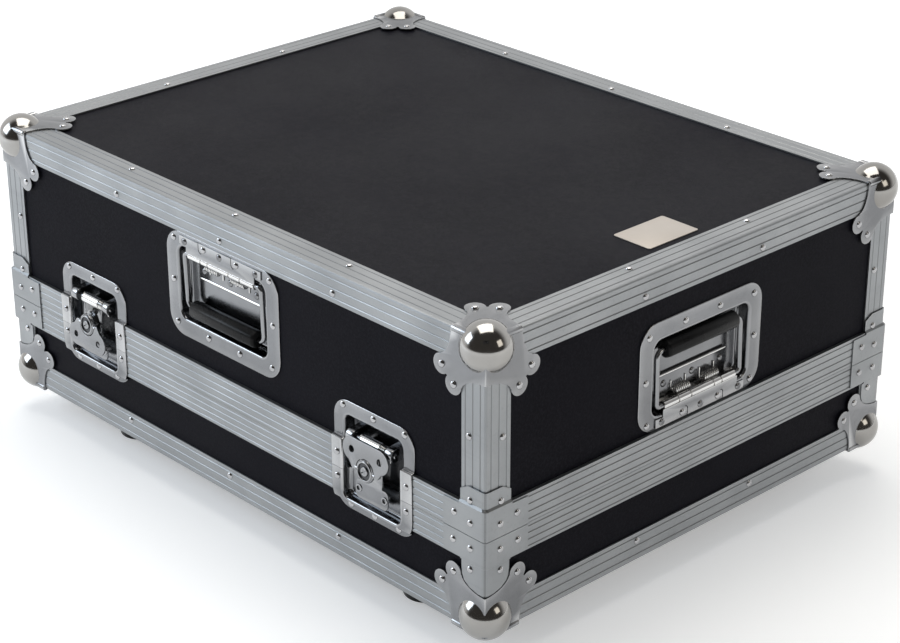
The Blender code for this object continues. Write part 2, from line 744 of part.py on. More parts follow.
def carrier_mesh():
    # Origin on the axle. A channel with a rolled barrel, bored for the axle.
    centre = -AXLE_HEIGHT
    face = CARRIER_SHEET
    back = -CARRIER_WALL_DEPTH
    inner = CARRIER_HALF - CARRIER_SHEET
    u_section = [
        (-CARRIER_HALF, back), (-inner, back), (-inner, 0), (inner, 0),
        (inner, back), (CARRIER_HALF, back), (CARRIER_HALF, face), (-CARRIER_HALF, face),
    ]
    top = -BARREL_RADIUS / 2
    low = centre - CARRIER_WALL_LOW
    channel = loft([[(u, v, w - AXLE_OUT) for u, w in u_section] for v in (low, top)])
    plate_low = centre - CARRIER_PLATE_LOW
    plate = box(-CARRIER_HALF, CARRIER_HALF, plate_low, top, -AXLE_OUT, face - AXLE_OUT)
    hole = turned([(POST_RADIUS + POST_PLAY, -0.01), (POST_RADIUS + POST_PLAY, 0.01)], 16, (0, centre))
    bore = rod(AXLE_RADIUS + RUNNING_GAP, -BRACKET_OUTER, BRACKET_OUTER, 0, 0, 12)
    steps = [
        ("UNION", channel),
        ("UNION", plate),
        ("UNION", rod(BARREL_RADIUS, -BARREL_HALF, BARREL_HALF, 0, 0)),
        ("DIFFERENCE", bore),
        ("DIFFERENCE", hole),
    ]
    return combined("latch_carrier", steps, 35)


def hook_mesh():
    # Origin on the rotor axis, at the back face of the carrier plate.
    front = -GAP
    back = front - CARRIER_SHEET
    stem = [(-HOOK_HALF, HOOK_TOP), (-HOOK_HALF, -HOOK_TEE_TOP)]
    tee = rounded_rect(-HOOK_TEE_HALF, HOOK_TEE_HALF, -HOOK_LOW, -HOOK_TEE_TOP, HOOK_CORNER, 3)
    outline = stem + tee[4:] + tee[:4] + [(HOOK_HALF, -HOOK_TEE_TOP), (HOOK_HALF, HOOK_TOP)]
    plate = prism(outline, back, front)
    lip = box(-HOOK_LIP_HALF, HOOK_LIP_HALF, -HOOK_LOW, -HOOK_LOW + CARRIER_SHEET, front - HOOK_LIP_DEPTH, front)
    half_u = CAM_OFFSET + CAM_RADIUS + CAM_PLAY
    half_v = CAM_RADIUS + CAM_PLAY
    slot = prism(
        rounded_rect(-half_u, half_u, -CAM_OFFSET - half_v, -CAM_OFFSET + half_v, half_v * 0.9, 3),
        back - 0.01, front + 0.01,
    )
    return combined("latch_hook", [("UNION", plate), ("UNION", lip), ("DIFFERENCE", slot)], 35)


def rotor_mesh():
    # Origin on its axis, at the back face of the carrier plate.
    edge = 0.0008
    body = turned([
        (POST_RADIUS, 0), (POST_RADIUS, ROTOR_BACK), (ROTOR_RADIUS, ROTOR_BACK),
        (ROTOR_RADIUS, ROTOR_FRONT - edge), (ROTOR_RADIUS - edge, ROTOR_FRONT),
    ], 16)
    head_front = -GAP * 2 - CARRIER_SHEET
    head_back = head_front - CARRIER_SHEET
    cam = turned([
        (CAM_HEAD, head_back), (CAM_HEAD, head_front), (CAM_RADIUS, head_front), (CAM_RADIUS, CARRIER_SHEET),
    ], 8, (0, -CAM_OFFSET))
    reach = ROTOR_RADIUS + 0.001
    pivot = rod(WING_PIN + RUNNING_GAP, -reach, reach, 0, WING_OUT, 8)
    steps = [("UNION", body), ("UNION", cam), ("DIFFERENCE", pivot)]
    return combined("latch_rotor", steps, 35)


def wing_mesh():
    # Origin on its pivot. Two round lobes joined above the rotor.
    inner = ROTOR_RADIUS + WING_CLEAR
    right = [(WING_EAR_OUT, -WING_EAR_DROP)]
    right += arc(WING_LOBE_OUT, WING_LOBE_UP, WING_LOBE_RADIUS, -75, 90, 5)
    left = [(-u, v) for u, v in reversed(right)]
    hollow = arc(0, 0, inner, 180, 0, 10)
    outline = right + left + [(-inner, -WING_EAR_DROP)] + hollow + [(inner, -WING_EAR_DROP)]
    steps = [("UNION", prism(outline, -WING_THICK / 2, WING_THICK / 2))]
    for sign in (-1, 1):
        ends = sorted((sign * (inner - 0.004), sign * (inner + 0.001)))
        steps.append(("UNION", rod(WING_PIN, ends[0], ends[1], 0, 0, 8)))
    for sign in (-1, 1):
        hole = turned([(WING_HOLE, -0.01), (WING_HOLE, 0.01)], 8, (sign * WING_LOBE_OUT, WING_LOBE_UP))
        steps.append(("DIFFERENCE", hole))
    return combined("latch_wing", steps, 35)


def build_latches():
    lid_dish = lid_dish_mesh()
    base_dish = base_dish_mesh()
    carrier = carrier_mesh()
    hook = hook_mesh()
    rotor = rotor_mesh()
    wing = wing_mesh()
    wing_down = ("front_left", "rear_right")
    for site in LATCH_SITES:
        frame = latch_frame(site)
        add_object(f"latch_{site}_lid_dish", lid_dish, ZINC, frame)
        add_object(f"latch_{site}_base_dish", base_dish, ZINC, frame)
        axle = Matrix.Translation((0, AXLE_HEIGHT, AXLE_OUT))
        tilt = Matrix.Rotation(radians(-REST_TILT), 4, "X")
        swing = add_empty(f"latch_{site}_swing", frame @ axle @ tilt)
        add_object(f"latch_{site}_carrier", carrier, ZINC, None, swing)
        to_rotor = Matrix.Translation((0, -AXLE_HEIGHT, -AXLE_OUT))
        add_object(f"latch_{site}_hook", hook, ZINC, to_rotor, swing)
        turn = add_object(f"latch_{site}_rotor", rotor, CHROME, to_rotor, swing)
        flip = Matrix.Rotation(pi if site in wing_down else 0, 4, "X")
        add_object(f"latch_{site}_wing", wing, ZINC, Matrix.Translation((0, 0, WING_OUT)) @ flip, turn)


def handle_dish_mesh():
    opening = (-HANDLE_OPEN_HALF, HANDLE_OPEN_HALF, -HANDLE_OPEN_BOTTOM, HANDLE_OPEN_TOP)
    pan = dish(HANDLE_WIDTH, HANDLE_HEIGHT, HANDLE_CORNER, opening, HANDLE_OPEN_RADIUS, HANDLE_DEPTH)
    top = FLANGE_LOW + DISH_SHEET
    low_v = HINGE_PIN_UP
    outline = [
        (-HINGE_HALF, HINGE_TOP), (-HINGE_HALF, HINGE_STEP), (-HINGE_NARROW, HINGE_STEP),
        (-HINGE_NARROW, low_v), (HINGE_NARROW, low_v), (HINGE_NARROW, HINGE_STEP),
        (HINGE_HALF, HINGE_STEP), (HINGE_HALF, HINGE_TOP),
    ]
    leaf = prism(outline, top - DISH_SHEET / 3, top + HINGE_SHEET)
    barrel = rod(HINGE_BARREL, -HINGE_BARREL_HALF, HINGE_BARREL_HALF, HINGE_PIN_UP, -HINGE_PIN_IN, 14)
    spring_leaf = box(
        -SPRING_LEAF_HALF, SPRING_LEAF_HALF, SPRING_LEAF_LOW, HINGE_PIN_UP,
        -SPRING_LEAF_IN, -SPRING_LEAF_IN + HINGE_SHEET,
    )
    reach = HANDLE_OPEN_HALF
    bore = rod(WIRE_RADIUS + RUNNING_GAP, -reach + 0.01, reach - 0.01, HINGE_PIN_UP, -HINGE_PIN_IN, 12)
    steps = [
        ("UNION", pan), ("UNION", leaf), ("UNION", barrel), ("UNION", spring_leaf), ("DIFFERENCE", bore),
    ]
    return combined("handle_dish", steps, 35)


def bail_mesh():
    # Origin on the hinge pin. One round wire, bent into a closed loop.
    drop = -GRIP_DROP - HINGE_PIN_UP
    depth = HINGE_PIN_IN - GRIP_IN
    reach = hypot(drop, depth)
    down = Vector((0, drop / reach, depth / reach))
    across = Vector((1, 0, 0)).cross(down)
    half = ARM_OUTER - WIRE_RADIUS
    bends = (
        (half, reach, WIRE_BEND_GRIP, 0), (-half, reach, WIRE_BEND_GRIP, 90),
        (-half, 0, WIRE_BEND_PIN, 180), (half, 0, WIRE_BEND_PIN, 270),
    )
    loops = []
    for u, along, bend, start in bends:
        u -= bend if u > 0 else -bend
        along += bend if along == 0 else -bend
        for i in range(WIRE_BEND_STEPS + 1):
            angle = radians(start + 90 * i / WIRE_BEND_STEPS)
            outward = Vector((cos(angle), 0, 0)) + down * sin(angle)
            centre = Vector((u, 0, 0)) + down * along + outward * bend
            loops.append([centre + outward * x + across * y for x, y in arc(0, 0, WIRE_RADIUS, 0, 315, 7)])
    return to_mesh("handle_bail", loft(loops, closed=True), 50)


def grip_mesh():
    # Origin on the hinge pin, round the bar of the bail.
    drop = -GRIP_DROP - HINGE_PIN_UP
    depth = HINGE_PIN_IN - GRIP_IN
    ends = GRIP_RADIUS * 0.82
    shoulder = GRIP_HALF - 0.004
    body = turned([
        (ends, -GRIP_HALF), (GRIP_RADIUS, -shoulder), (GRIP_RADIUS, shoulder), (ends, GRIP_HALF),
    ], 16)
    bore = turned([(WIRE_RADIUS + GAP, -GRIP_HALF * 2), (WIRE_RADIUS + GAP, GRIP_HALF * 2)], 12)
    for bm in (body, bore):
        moved(along_u(bm), (0, drop, depth))
    return combined("handle_grip", [("UNION", body), ("DIFFERENCE", bore)], 35)


def build_handles():
    pan = handle_dish_mesh()
    bail = bail_mesh()
    grip = grip_mesh()
    for site in HANDLE_SITES:
        frame = handle_frame(site)
        add_object(f"handle_{site}_dish", pan, ZINC, frame)
        pin = frame @ Matrix.Translation((0, HINGE_PIN_UP, -HINGE_PIN_IN))
        hinge = add_empty(f"handle_{site}_hinge", pin)
        add_object(f"handle_{site}_bail", bail, ZINC, None, hinge)
        add_object(f"handle_{site}_grip", grip, RUBBER, None, hinge)


def build_feet():
    top = FOOT_HEIGHT + PANEL_FACE - GAP
    edge = 0.0015
    profile = [
        (FOOT_RADIUS - edge, 0), (FOOT_RADIUS, edge), (FOOT_TOP_RADIUS, top), (FOOT_RECESS_RADIUS, top),
    ]
    recess = turned([(FOOT_RECESS_RADIUS, -0.01), (FOOT_RECESS_RADIUS, FOOT_RECESS_DEPTH)], 12)
    mesh = combined("foot", [("UNION", turned(profile, 16)), ("DIFFERENCE", recess)], 35)
    for sx, side_name in ((-1, "left"), (1, "right")):
        for sy, depth_name in ((-1, "front"), (1, "rear")):
            x = sx * (HALF_WIDTH - FOOT_END_INSET)
            y = sy * (HALF_DEPTH - FOOT_SIDE_INSET)
            add_object(f"foot_{depth_name}_{side_name}", mesh, RUBBER, Matrix.Translation((x, y, 0)))


def build_foam():
    # Open trays of foam that line the base and the lid.
    outer_x = HALF_WIDTH - FOAM_OUTER
    outer_y = HALF_DEPTH - FOAM_OUTER
    inner_x = outer_x - FOAM_THICK
    inner_y = outer_y - FOAM_THICK
    floor = FOOT_HEIGHT + EDGE_REACH + GAP
    rim = SEAM - FOAM_BELOW_SEAM
    body = box(-outer_x, outer_x, -outer_y, outer_y, floor, rim)
    bay = box(-inner_x, inner_x, -inner_y, inner_y, floor + FOAM_THICK, rim + FOAM_THICK)
    mesh = combined("base_foam", [("UNION", body), ("DIFFERENCE", bay)])
    add_object("base_foam", mesh, FOAM)
    ceiling = SHELL_TOP - EDGE_REACH - GAP
    rim = SEAM + FOAM_ABOVE_SEAM
    body = box(-outer_x, outer_x, -outer_y, outer_y, rim, ceiling)
    bay = box(-inner_x, inner_x, -inner_y, inner_y, rim - FOAM_THICK, ceiling - FOAM_THICK)
    mesh = combined("lid_foam", [("UNION", body), ("DIFFERENCE", bay)])
    add_object("lid_foam", mesh, FOAM)


def main():
    clear_scene()
    build_frames()
    build_panels()
    build_corners()
    build_latches()
    build_handles()
    build_feet()
    build_foam()
    bpy.context.view_layer.update()


main()
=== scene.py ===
from math import cos, hypot, pi, radians, sin

import bmesh
import bpy
from mathutils import Matrix, Vector


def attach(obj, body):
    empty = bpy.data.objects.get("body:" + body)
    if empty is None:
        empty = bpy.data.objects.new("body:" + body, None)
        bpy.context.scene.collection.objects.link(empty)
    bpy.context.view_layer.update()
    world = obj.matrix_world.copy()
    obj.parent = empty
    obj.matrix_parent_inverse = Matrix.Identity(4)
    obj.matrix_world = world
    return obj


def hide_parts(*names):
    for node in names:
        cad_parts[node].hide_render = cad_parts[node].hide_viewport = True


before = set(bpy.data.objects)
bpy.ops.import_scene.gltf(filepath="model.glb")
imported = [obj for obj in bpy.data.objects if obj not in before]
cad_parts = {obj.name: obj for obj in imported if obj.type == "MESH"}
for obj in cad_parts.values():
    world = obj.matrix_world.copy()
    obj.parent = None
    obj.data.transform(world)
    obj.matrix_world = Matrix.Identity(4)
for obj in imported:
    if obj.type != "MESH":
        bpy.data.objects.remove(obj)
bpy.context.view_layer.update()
print("frame loaded")

case = {
    "halfWidth": 0.363,
    "halfDepth": 0.280,
    "footHeight": 0.035,
    "seam": 0.135,
    "top": 0.329,
    "leaf": 0.030,
    "panelFace": -0.0019,  # outer face of the panels
    "closingTop": 0.165,
    "closingLow": 0.108,
    "gap": 0.0003,
    "sheet": 0.0012,
}
flangeTop = case["panelFace"] + case["gap"] + case["sheet"]


# Modelling helpers

def deselectAll():
    if bpy.context.object and bpy.context.object.mode != "OBJECT":
        bpy.ops.object.mode_set(mode="OBJECT")
    bpy.ops.object.select_all(action="DESELECT")


def pick(piece):
    deselectAll()
    piece.select_set(True)
    bpy.context.view_layer.objects.active = piece


def named(name):
    piece = bpy.context.object
    piece.name = name
    piece.data.name = name
    return piece


def arcPoints(cu, cv, radius, start, end, steps):
    points = []
    for i in range(steps + 1):
        angle = radians(start + (end - start) * i / steps)
        points.append((cu + radius * cos(angle), cv + radius * sin(angle)))
    return points


def roundedLoop(u0, u1, v0, v1, radius, w, steps=8):
    points = arcPoints(u1 - radius, v1 - radius, radius, 0, 90, steps)
    points += arcPoints(u0 + radius, v1 - radius, radius, 90, 180, steps)
    points += arcPoints(u0 + radius, v0 + radius, radius, 180, 270, steps)
    points += arcPoints(u1 - radius, v0 + radius, radius, 270, 360, steps)
    return [(u, v, w) for u, v in points]


def circleLoop(radius, w, steps=32, centre=(0.0, 0.0)):
    points = arcPoints(centre[0], centre[1], radius, 0, 360, steps)[:-1]
    return [(u, v, w) for u, v in points]


def drawLoops(name, loops, capped=True):
    # A circle is added, then extruded loop by loop, each new loop put in place.
    deselectAll()
    bpy.ops.mesh.primitive_circle_add(vertices=len(loops[0]), radius=0.01, fill_type="NOTHING")
    piece = named(name)
    for vert, point in zip(piece.data.vertices, loops[0]):
        vert.co = point
    bpy.ops.object.mode_set(mode="EDIT")
    bpy.ops.mesh.select_all(action="SELECT")
    order = list(range(len(loops[0])))
    for loop in loops[1:]:
        bpy.ops.mesh.extrude_region_move()
        edit = bmesh.from_edit_mesh(piece.data)
        edit.verts.index_update()
        edit.verts.ensure_lookup_table()
        grown = {}
        for vert in edit.verts:
            if vert.select:
                below = [e.other_vert(vert).index for e in vert.link_edges if not e.other_vert(vert).select]
                grown[below[0]] = vert
        fresh = []
        for index, point in zip(order, loop):
            grown[index].co = point
            fresh.append(grown[index].index)
        order = fresh
        bmesh.update_edit_mesh(piece.data)
    if capped:
        bpy.ops.mesh.edge_face_add()
        bpy.ops.mesh.select_all(action="DESELECT")
        edit = bmesh.from_edit_mesh(piece.data)
        edit.verts.ensure_lookup_table()
        for i in range(len(loops[0])):
            edit.verts[i].select = True
        edit.select_flush(True)
        bmesh.update_edit_mesh(piece.data)
        bpy.ops.mesh.edge_face_add()
    bpy.ops.mesh.select_all(action="SELECT")
    bpy.ops.mesh.normals_make_consistent(inside=False)
    bpy.ops.object.mode_set(mode="OBJECT")
    return piece


def drawPlate(name, outline, low, high):
    return drawLoops(name, [[(u, v, low) for u, v in outline], [(u, v, high) for u, v in outline]])


def drawRod(name, radius, low, high, v, w, steps=24, edge=0.0004):
    # A rod along u with softened ends.
    loops = []
    for grow, at in ((-edge, low), (0, low + edge), (0, high - edge), (-edge, high)):
        ring = arcPoints(v, w, radius + grow, 0, 360, steps)[:-1]
        loops.append([(at, rv, rw) for rv, rw in ring])
    return drawLoops(name, loops)


def drawBlock(name, u0, u1, v0, v1, w0, w1):
    deselectAll()
    middle = ((u0 + u1) / 2, (v0 + v1) / 2, (w0 + w1) / 2)
    bpy.ops.mesh.primitive_cube_add(size=1, location=middle, scale=(u1 - u0, v1 - v0, w1 - w0))
    bpy.ops.object.transform_apply(location=True, rotation=True, scale=True)
    return named(name)


def applyModifier(piece, kind, **settings):
    pick(piece)
    modifier = piece.modifiers.new(kind.lower(), kind)
    for key, value in settings.items():
        setattr(modifier, key, value)
    bpy.ops.object.modifier_apply(modifier=modifier.name)
    return piece


def merged(piece, tool, operation="UNION"):
    applyModifier(piece, "BOOLEAN", operation=operation, object=tool, solver="EXACT")
    bpy.data.objects.remove(tool)
    return piece


def bevelled(piece, width, segments=2, angle=35):
    return applyModifier(
        piece, "BEVEL", width=width, segments=segments, limit_method="ANGLE",
        angle_limit=radians(angle), use_clamp_overlap=True,
    )


def smoothed(piece, angle=35):
    # Slivers left by the cuts go first, then the shading is set.
    pick(piece)
    bpy.ops.object.mode_set(mode="EDIT")
    bpy.ops.mesh.select_all(action="SELECT")
    bpy.ops.mesh.remove_doubles(threshold=0.000002)
    bpy.ops.mesh.dissolve_degenerate(threshold=0.000002)
    bpy.ops.mesh.normals_make_consistent(inside=False)
    bpy.ops.object.mode_set(mode="OBJECT")
    bpy.ops.object.shade_smooth_by_angle(angle=radians(angle))
    return piece


def joined(name, pieces):
    deselectAll()
    for piece in pieces:
        piece.select_set(True)
    bpy.context.view_layer.objects.active = pieces[0]
    bpy.ops.object.join()
    return named(name)


def placedCopy(piece, name, matrix):
    pick(piece)
    bpy.ops.object.duplicate()
    copy = named(name)
    copy.matrix_world = matrix
    bpy.ops.object.transform_apply(location=True, rotation=True, scale=True)
    return copy


def finish(piece, body, material, slot, *nodes):
    if material:
        piece.data.materials.clear()
        piece.data.materials.append(material)
    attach(piece, body)
    if nodes:
        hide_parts(*nodes)
    return piece


# Places on the case

def faceMatrix(side):
    axes = {
        "front": ((1, 0, 0), (0, -1, 0), case["halfDepth"]),
        "rear": ((-1, 0, 0), (0, 1, 0), case["halfDepth"]),
        "right": ((0, 1, 0), (1, 0, 0), case["halfWidth"]),
        "left": ((0, -1, 0), (-1, 0, 0), case["halfWidth"]),
    }
    along, out, reach = axes[side]
    turn = Matrix((along, (0, 0, 1), out)).transposed().to_4x4()
    return Matrix.Translation(Vector(out) * reach) @ turn


def flatMatrix(up, height):
    # The top face, or with up = -1 the underside.
    turn = Matrix.Identity(4) if up > 0 else Matrix.Rotation(pi, 4, "X")
    return Matrix.Translation((0, 0, height)) @ turn


latchSites = {
    "front_left": ("front", -0.2165),
    "front_right": ("front", 0.2165),
    "rear_left": ("rear", 0.2165),
    "rear_right": ("rear", -0.2165),
}
handleSites = {
    "front": ("front", 0.2432, 0),
    "right": ("right", 0.2208, 180),
    "left": ("left", 0.2208, 180),
}
latchHeight = 0.150


def latchMatrix(site):
    side, u = latchSites[site]
    return faceMatrix(side) @ Matrix.Translation((u, latchHeight, 0))


def handleMatrix(site):
    side, height, turn = handleSites[site]
    upright = faceMatrix(side) @ Matrix.Translation((0, height, 0))
    return upright @ Matrix.Rotation(radians(turn), 4, "Z")


def swingMatrix(site):
    # Frame of a latch's axle at rest, kicked out by its spring.
    axle = Matrix.Translation((0, 0.0245, 0.0005))
    return latchMatrix(site) @ axle @ Matrix.Rotation(radians(-3.5), 4, "X")


# Node groups shared by the materials

def newGroup(name, inputs, outputs):
    group = bpy.data.node_groups.new(name, "ShaderNodeTree")
    for label, kind, value in inputs:
        socket = group.interface.new_socket(label, in_out="INPUT", socket_type=kind)
        socket.default_value = value
    for label, kind in outputs:
        group.interface.new_socket(label, in_out="OUTPUT", socket_type=kind)
    entry = group.nodes.new("NodeGroupInput")
    leave = group.nodes.new("NodeGroupOutput")
    entry.location = (-900, 0)
    leave.location = (600, 0)
    return group, entry, leave


def groupPatches():
    # Cloudy variation between two values.
    inputs = [
        ("Scale", "NodeSocketFloat", 8.0), ("Detail", "NodeSocketFloat", 4.0),
        ("Low", "NodeSocketFloat", 0.0), ("High", "NodeSocketFloat", 1.0),
    ]
    group, entry, leave = newGroup("cloudyPatches", inputs, [("Value", "NodeSocketFloat")])
    coords = group.nodes.new("ShaderNodeTexCoord")
    noise = group.nodes.new("ShaderNodeTexNoise")
    ramp = group.nodes.new("ShaderNodeMapRange")
    ramp.inputs["From Min"].default_value = 0.32
    ramp.inputs["From Max"].default_value = 0.68
    link = group.links.new
    link(coords.outputs["Object"], noise.inputs["Vector"])
    link(entry.outputs["Scale"], noise.inputs["Scale"])
    link(entry.outputs["Detail"], noise.inputs["Detail"])
    link(noise.outputs["Fac"], ramp.inputs["Value"])
    link(entry.outputs["Low"], ramp.inputs["To Min"])
    link(entry.outputs["High"], ramp.inputs["To Max"])
    link(ramp.outputs["Result"], leave.inputs["Value"])
    return group


def groupDrawnLines():
    # Fine lines drawn out along one axis by a stretch vector.
    inputs = [
        ("Stretch", "NodeSocketVector", (1.0, 1.0, 1.0)), ("Scale", "NodeSocketFloat", 200.0),
        ("Threshold", "NodeSocketFloat", 0.6), ("Strength", "NodeSocketFloat", 1.0),
    ]
    group, entry, leave = newGroup("drawnLines", inputs, [("Mask", "NodeSocketFloat"), ("Height", "NodeSocketFloat")])
    coords = group.nodes.new("ShaderNodeTexCoord")
    stretch = group.nodes.new("ShaderNodeVectorMath")
    stretch.operation = "MULTIPLY"
    noise = group.nodes.new("ShaderNodeTexNoise")
    noise.inputs["Detail"].default_value = 3.0
    mask = group.nodes.new("ShaderNodeMapRange")
    mask.inputs["From Max"].default_value = 0.8
    scaled = group.nodes.new("ShaderNodeMath")
    scaled.operation = "MULTIPLY"
    link = group.links.new
    link(coords.outputs["Object"], stretch.inputs[0])
    link(entry.outputs["Stretch"], stretch.inputs[1])
    link(stretch.outputs["Vector"], noise.inputs["Vector"])
    link(entry.outputs["Scale"], noise.inputs["Scale"])
    link(noise.outputs["Fac"], mask.inputs["Value"])
    link(entry.outputs["Threshold"], mask.inputs["From Min"])
    link(mask.outputs["Result"], scaled.inputs[0])
    link(entry.outputs["Strength"], scaled.inputs[1])
    link(scaled.outputs["Value"], leave.inputs["Mask"])
    link(noise.outputs["Fac"], leave.inputs["Height"])
    return group


def groupDust():
    # Dust that settles on faces that look up, broken by noise.
    inputs = [("Scale", "NodeSocketFloat", 30.0), ("Amount", "NodeSocketFloat", 0.2)]
    group, entry, leave = newGroup("settledDust", inputs, [("Mask", "NodeSocketFloat")])
    coords = group.nodes.new("ShaderNodeTexCoord")
    noise = group.nodes.new("ShaderNodeTexNoise")
    noise.inputs["Detail"].default_value = 6.0
    geometry = group.nodes.new("ShaderNodeNewGeometry")
    split = group.nodes.new("ShaderNodeSeparateXYZ")
    upward = group.nodes.new("ShaderNodeMapRange")
    upward.inputs["From Min"].default_value = 0.3
    upward.inputs["From Max"].default_value = 1.0
    speck = group.nodes.new("ShaderNodeMapRange")
    speck.inputs["From Min"].default_value = 0.42
    speck.inputs["From Max"].default_value = 0.75
    both = group.nodes.new("ShaderNodeMath")
    both.operation = "MULTIPLY"
    scaled = group.nodes.new("ShaderNodeMath")
    scaled.operation = "MULTIPLY"
    link = group.links.new
    link(coords.outputs["Object"], noise.inputs["Vector"])
    link(entry.outputs["Scale"], noise.inputs["Scale"])
    link(geometry.outputs["Normal"], split.inputs["Vector"])
    link(split.outputs["Z"], upward.inputs["Value"])
    link(noise.outputs["Fac"], speck.inputs["Value"])
    link(upward.outputs["Result"], both.inputs[0])
    link(speck.outputs["Result"], both.inputs[1])
    link(both.outputs["Value"], scaled.inputs[0])
    link(entry.outputs["Amount"], scaled.inputs[1])
    link(scaled.outputs["Value"], leave.inputs["Mask"])
    return group


def groupEdgeWear():
    # Bright edges, from how sharply the surface turns.
    inputs = [("Low", "NodeSocketFloat", 0.52), ("High", "NodeSocketFloat", 0.62), ("Amount", "NodeSocketFloat", 1.0)]
    group, entry, leave = newGroup("edgeWear", inputs, [("Mask", "NodeSocketFloat")])
    geometry = group.nodes.new("ShaderNodeNewGeometry")
    ramp = group.nodes.new("ShaderNodeMapRange")
    scaled = group.nodes.new("ShaderNodeMath")
    scaled.operation = "MULTIPLY"
    link = group.links.new
    link(geometry.outputs["Pointiness"], ramp.inputs["Value"])
    link(entry.outputs["Low"], ramp.inputs["From Min"])
    link(entry.outputs["High"], ramp.inputs["From Max"])
    link(ramp.outputs["Result"], scaled.inputs[0])
    link(entry.outputs["Amount"], scaled.inputs[1])
    link(scaled.outputs["Value"], leave.inputs["Mask"])
    return group


patches = groupPatches()
drawnLines = groupDrawnLines()
settledDust = groupDust()
edgeWear = groupEdgeWear()
print("node groups ready")


# Materials

class Paint:
    def __init__(self, name, roughness, metallic):
        self.material = bpy.data.materials.new(name)
        self.material.use_nodes = True
        self.nodes = self.material.node_tree.nodes
        self.link = self.material.node_tree.links.new
        self.shader = self.nodes["Principled BSDF"]
        self.shader.inputs["Roughness"].default_value = roughness
        self.shader.inputs["Metallic"].default_value = metallic

    def group(self, tree, **values):
        node = self.nodes.new("ShaderNodeGroup")
        node.node_tree = tree
        for key, value in values.items():
            node.inputs[key].default_value = value
        return node

    def mix(self, factor, first, second):
        node = self.nodes.new("ShaderNodeMix")
        node.data_type = "RGBA"
        for socket, value in ((node.inputs["Factor"], factor), (node.inputs[6], first), (node.inputs[7], second)):
            if isinstance(value, bpy.types.NodeSocket):
                self.link(value, socket)
            elif isinstance(value, tuple):
                socket.default_value = (*value, 1.0)
            else:
                socket.default_value = value
        return node.outputs[2]

    def bump(self, height, strength, distance):
        node = self.nodes.new("ShaderNodeBump")
        node.inputs["Strength"].default_value = strength
        node.inputs["Distance"].default_value = distance
        self.link(height, node.inputs["Height"])
        self.link(node.outputs["Normal"], self.shader.inputs["Normal"])


def laminateMaterial():
    look = {
        "dark": (0.0044, 0.0043, 0.0066), "light": (0.0076, 0.0074, 0.0108),
        "grain": (0.0104, 0.0100, 0.0138), "dust": (0.09, 0.088, 0.085),
    }
    paint = Paint("black laminate", 0.45, 0.0)
    paint.shader.inputs["IOR"].default_value = 1.11  # a matt film that hardly shines
    tone = paint.group(patches, Scale=9.0, Detail=5.0, Low=0.0, High=1.0)
    colour = paint.mix(tone.outputs["Value"], look["dark"], look["light"])
    grain = paint.group(patches, Scale=420.0, Detail=2.0, Low=-0.4, High=1.0)
    colour = paint.mix(grain.outputs["Value"], colour, look["grain"])
    dust = paint.group(settledDust, Scale=120.0, Amount=0.05)
    colour = paint.mix(dust.outputs["Mask"], colour, look["dust"])
    paint.link(colour, paint.shader.inputs["Base Color"])
    gloss = paint.group(patches, Scale=5.0, Detail=6.0, Low=0.40, High=0.52)
    paint.link(gloss.outputs["Value"], paint.shader.inputs["Roughness"])
    grain = paint.group(patches, Scale=1400.0, Detail=2.0, Low=0.0, High=1.0)
    paint.bump(grain.outputs["Value"], 0.35, 0.0002)
    return paint.material


def buildGrooveWalls():
    # White where the surface slopes away from the piece's own axes: the mask for the painted shade on groove walls.
    inputs = (("Low", "NodeSocketFloat", 0.8), ("High", "NodeSocketFloat", 0.985))
    tree, source, target = newGroup("groove wall shade", inputs, (("Mask", "NodeSocketFloat"),))
    coords = tree.nodes.new("ShaderNodeTexCoord")
    size = tree.nodes.new("ShaderNodeVectorMath")
    size.operation = "ABSOLUTE"
    parts = tree.nodes.new("ShaderNodeSeparateXYZ")
    tree.links.new(coords.outputs["Normal"], size.inputs[0])
    tree.links.new(size.outputs["Vector"], parts.inputs["Vector"])
    first = tree.nodes.new("ShaderNodeMath")
    first.operation = "MAXIMUM"
    second = tree.nodes.new("ShaderNodeMath")
    second.operation = "MAXIMUM"
    tree.links.new(parts.outputs["X"], first.inputs[0])
    tree.links.new(parts.outputs["Y"], first.inputs[1])
    tree.links.new(first.outputs["Value"], second.inputs[0])
    tree.links.new(parts.outputs["Z"], second.inputs[1])
    slope = tree.nodes.new("ShaderNodeMapRange")
    slope.inputs["To Min"].default_value = 1.0
    slope.inputs["To Max"].default_value = 0.0
    tree.links.new(second.outputs["Value"], slope.inputs["Value"])
    tree.links.new(source.outputs["Low"], slope.inputs["From Min"])
    tree.links.new(source.outputs["High"], slope.inputs["From Max"])
    tree.links.new(slope.outputs["Result"], target.inputs["Mask"])
    return tree


grooveWallShade = buildGrooveWalls()


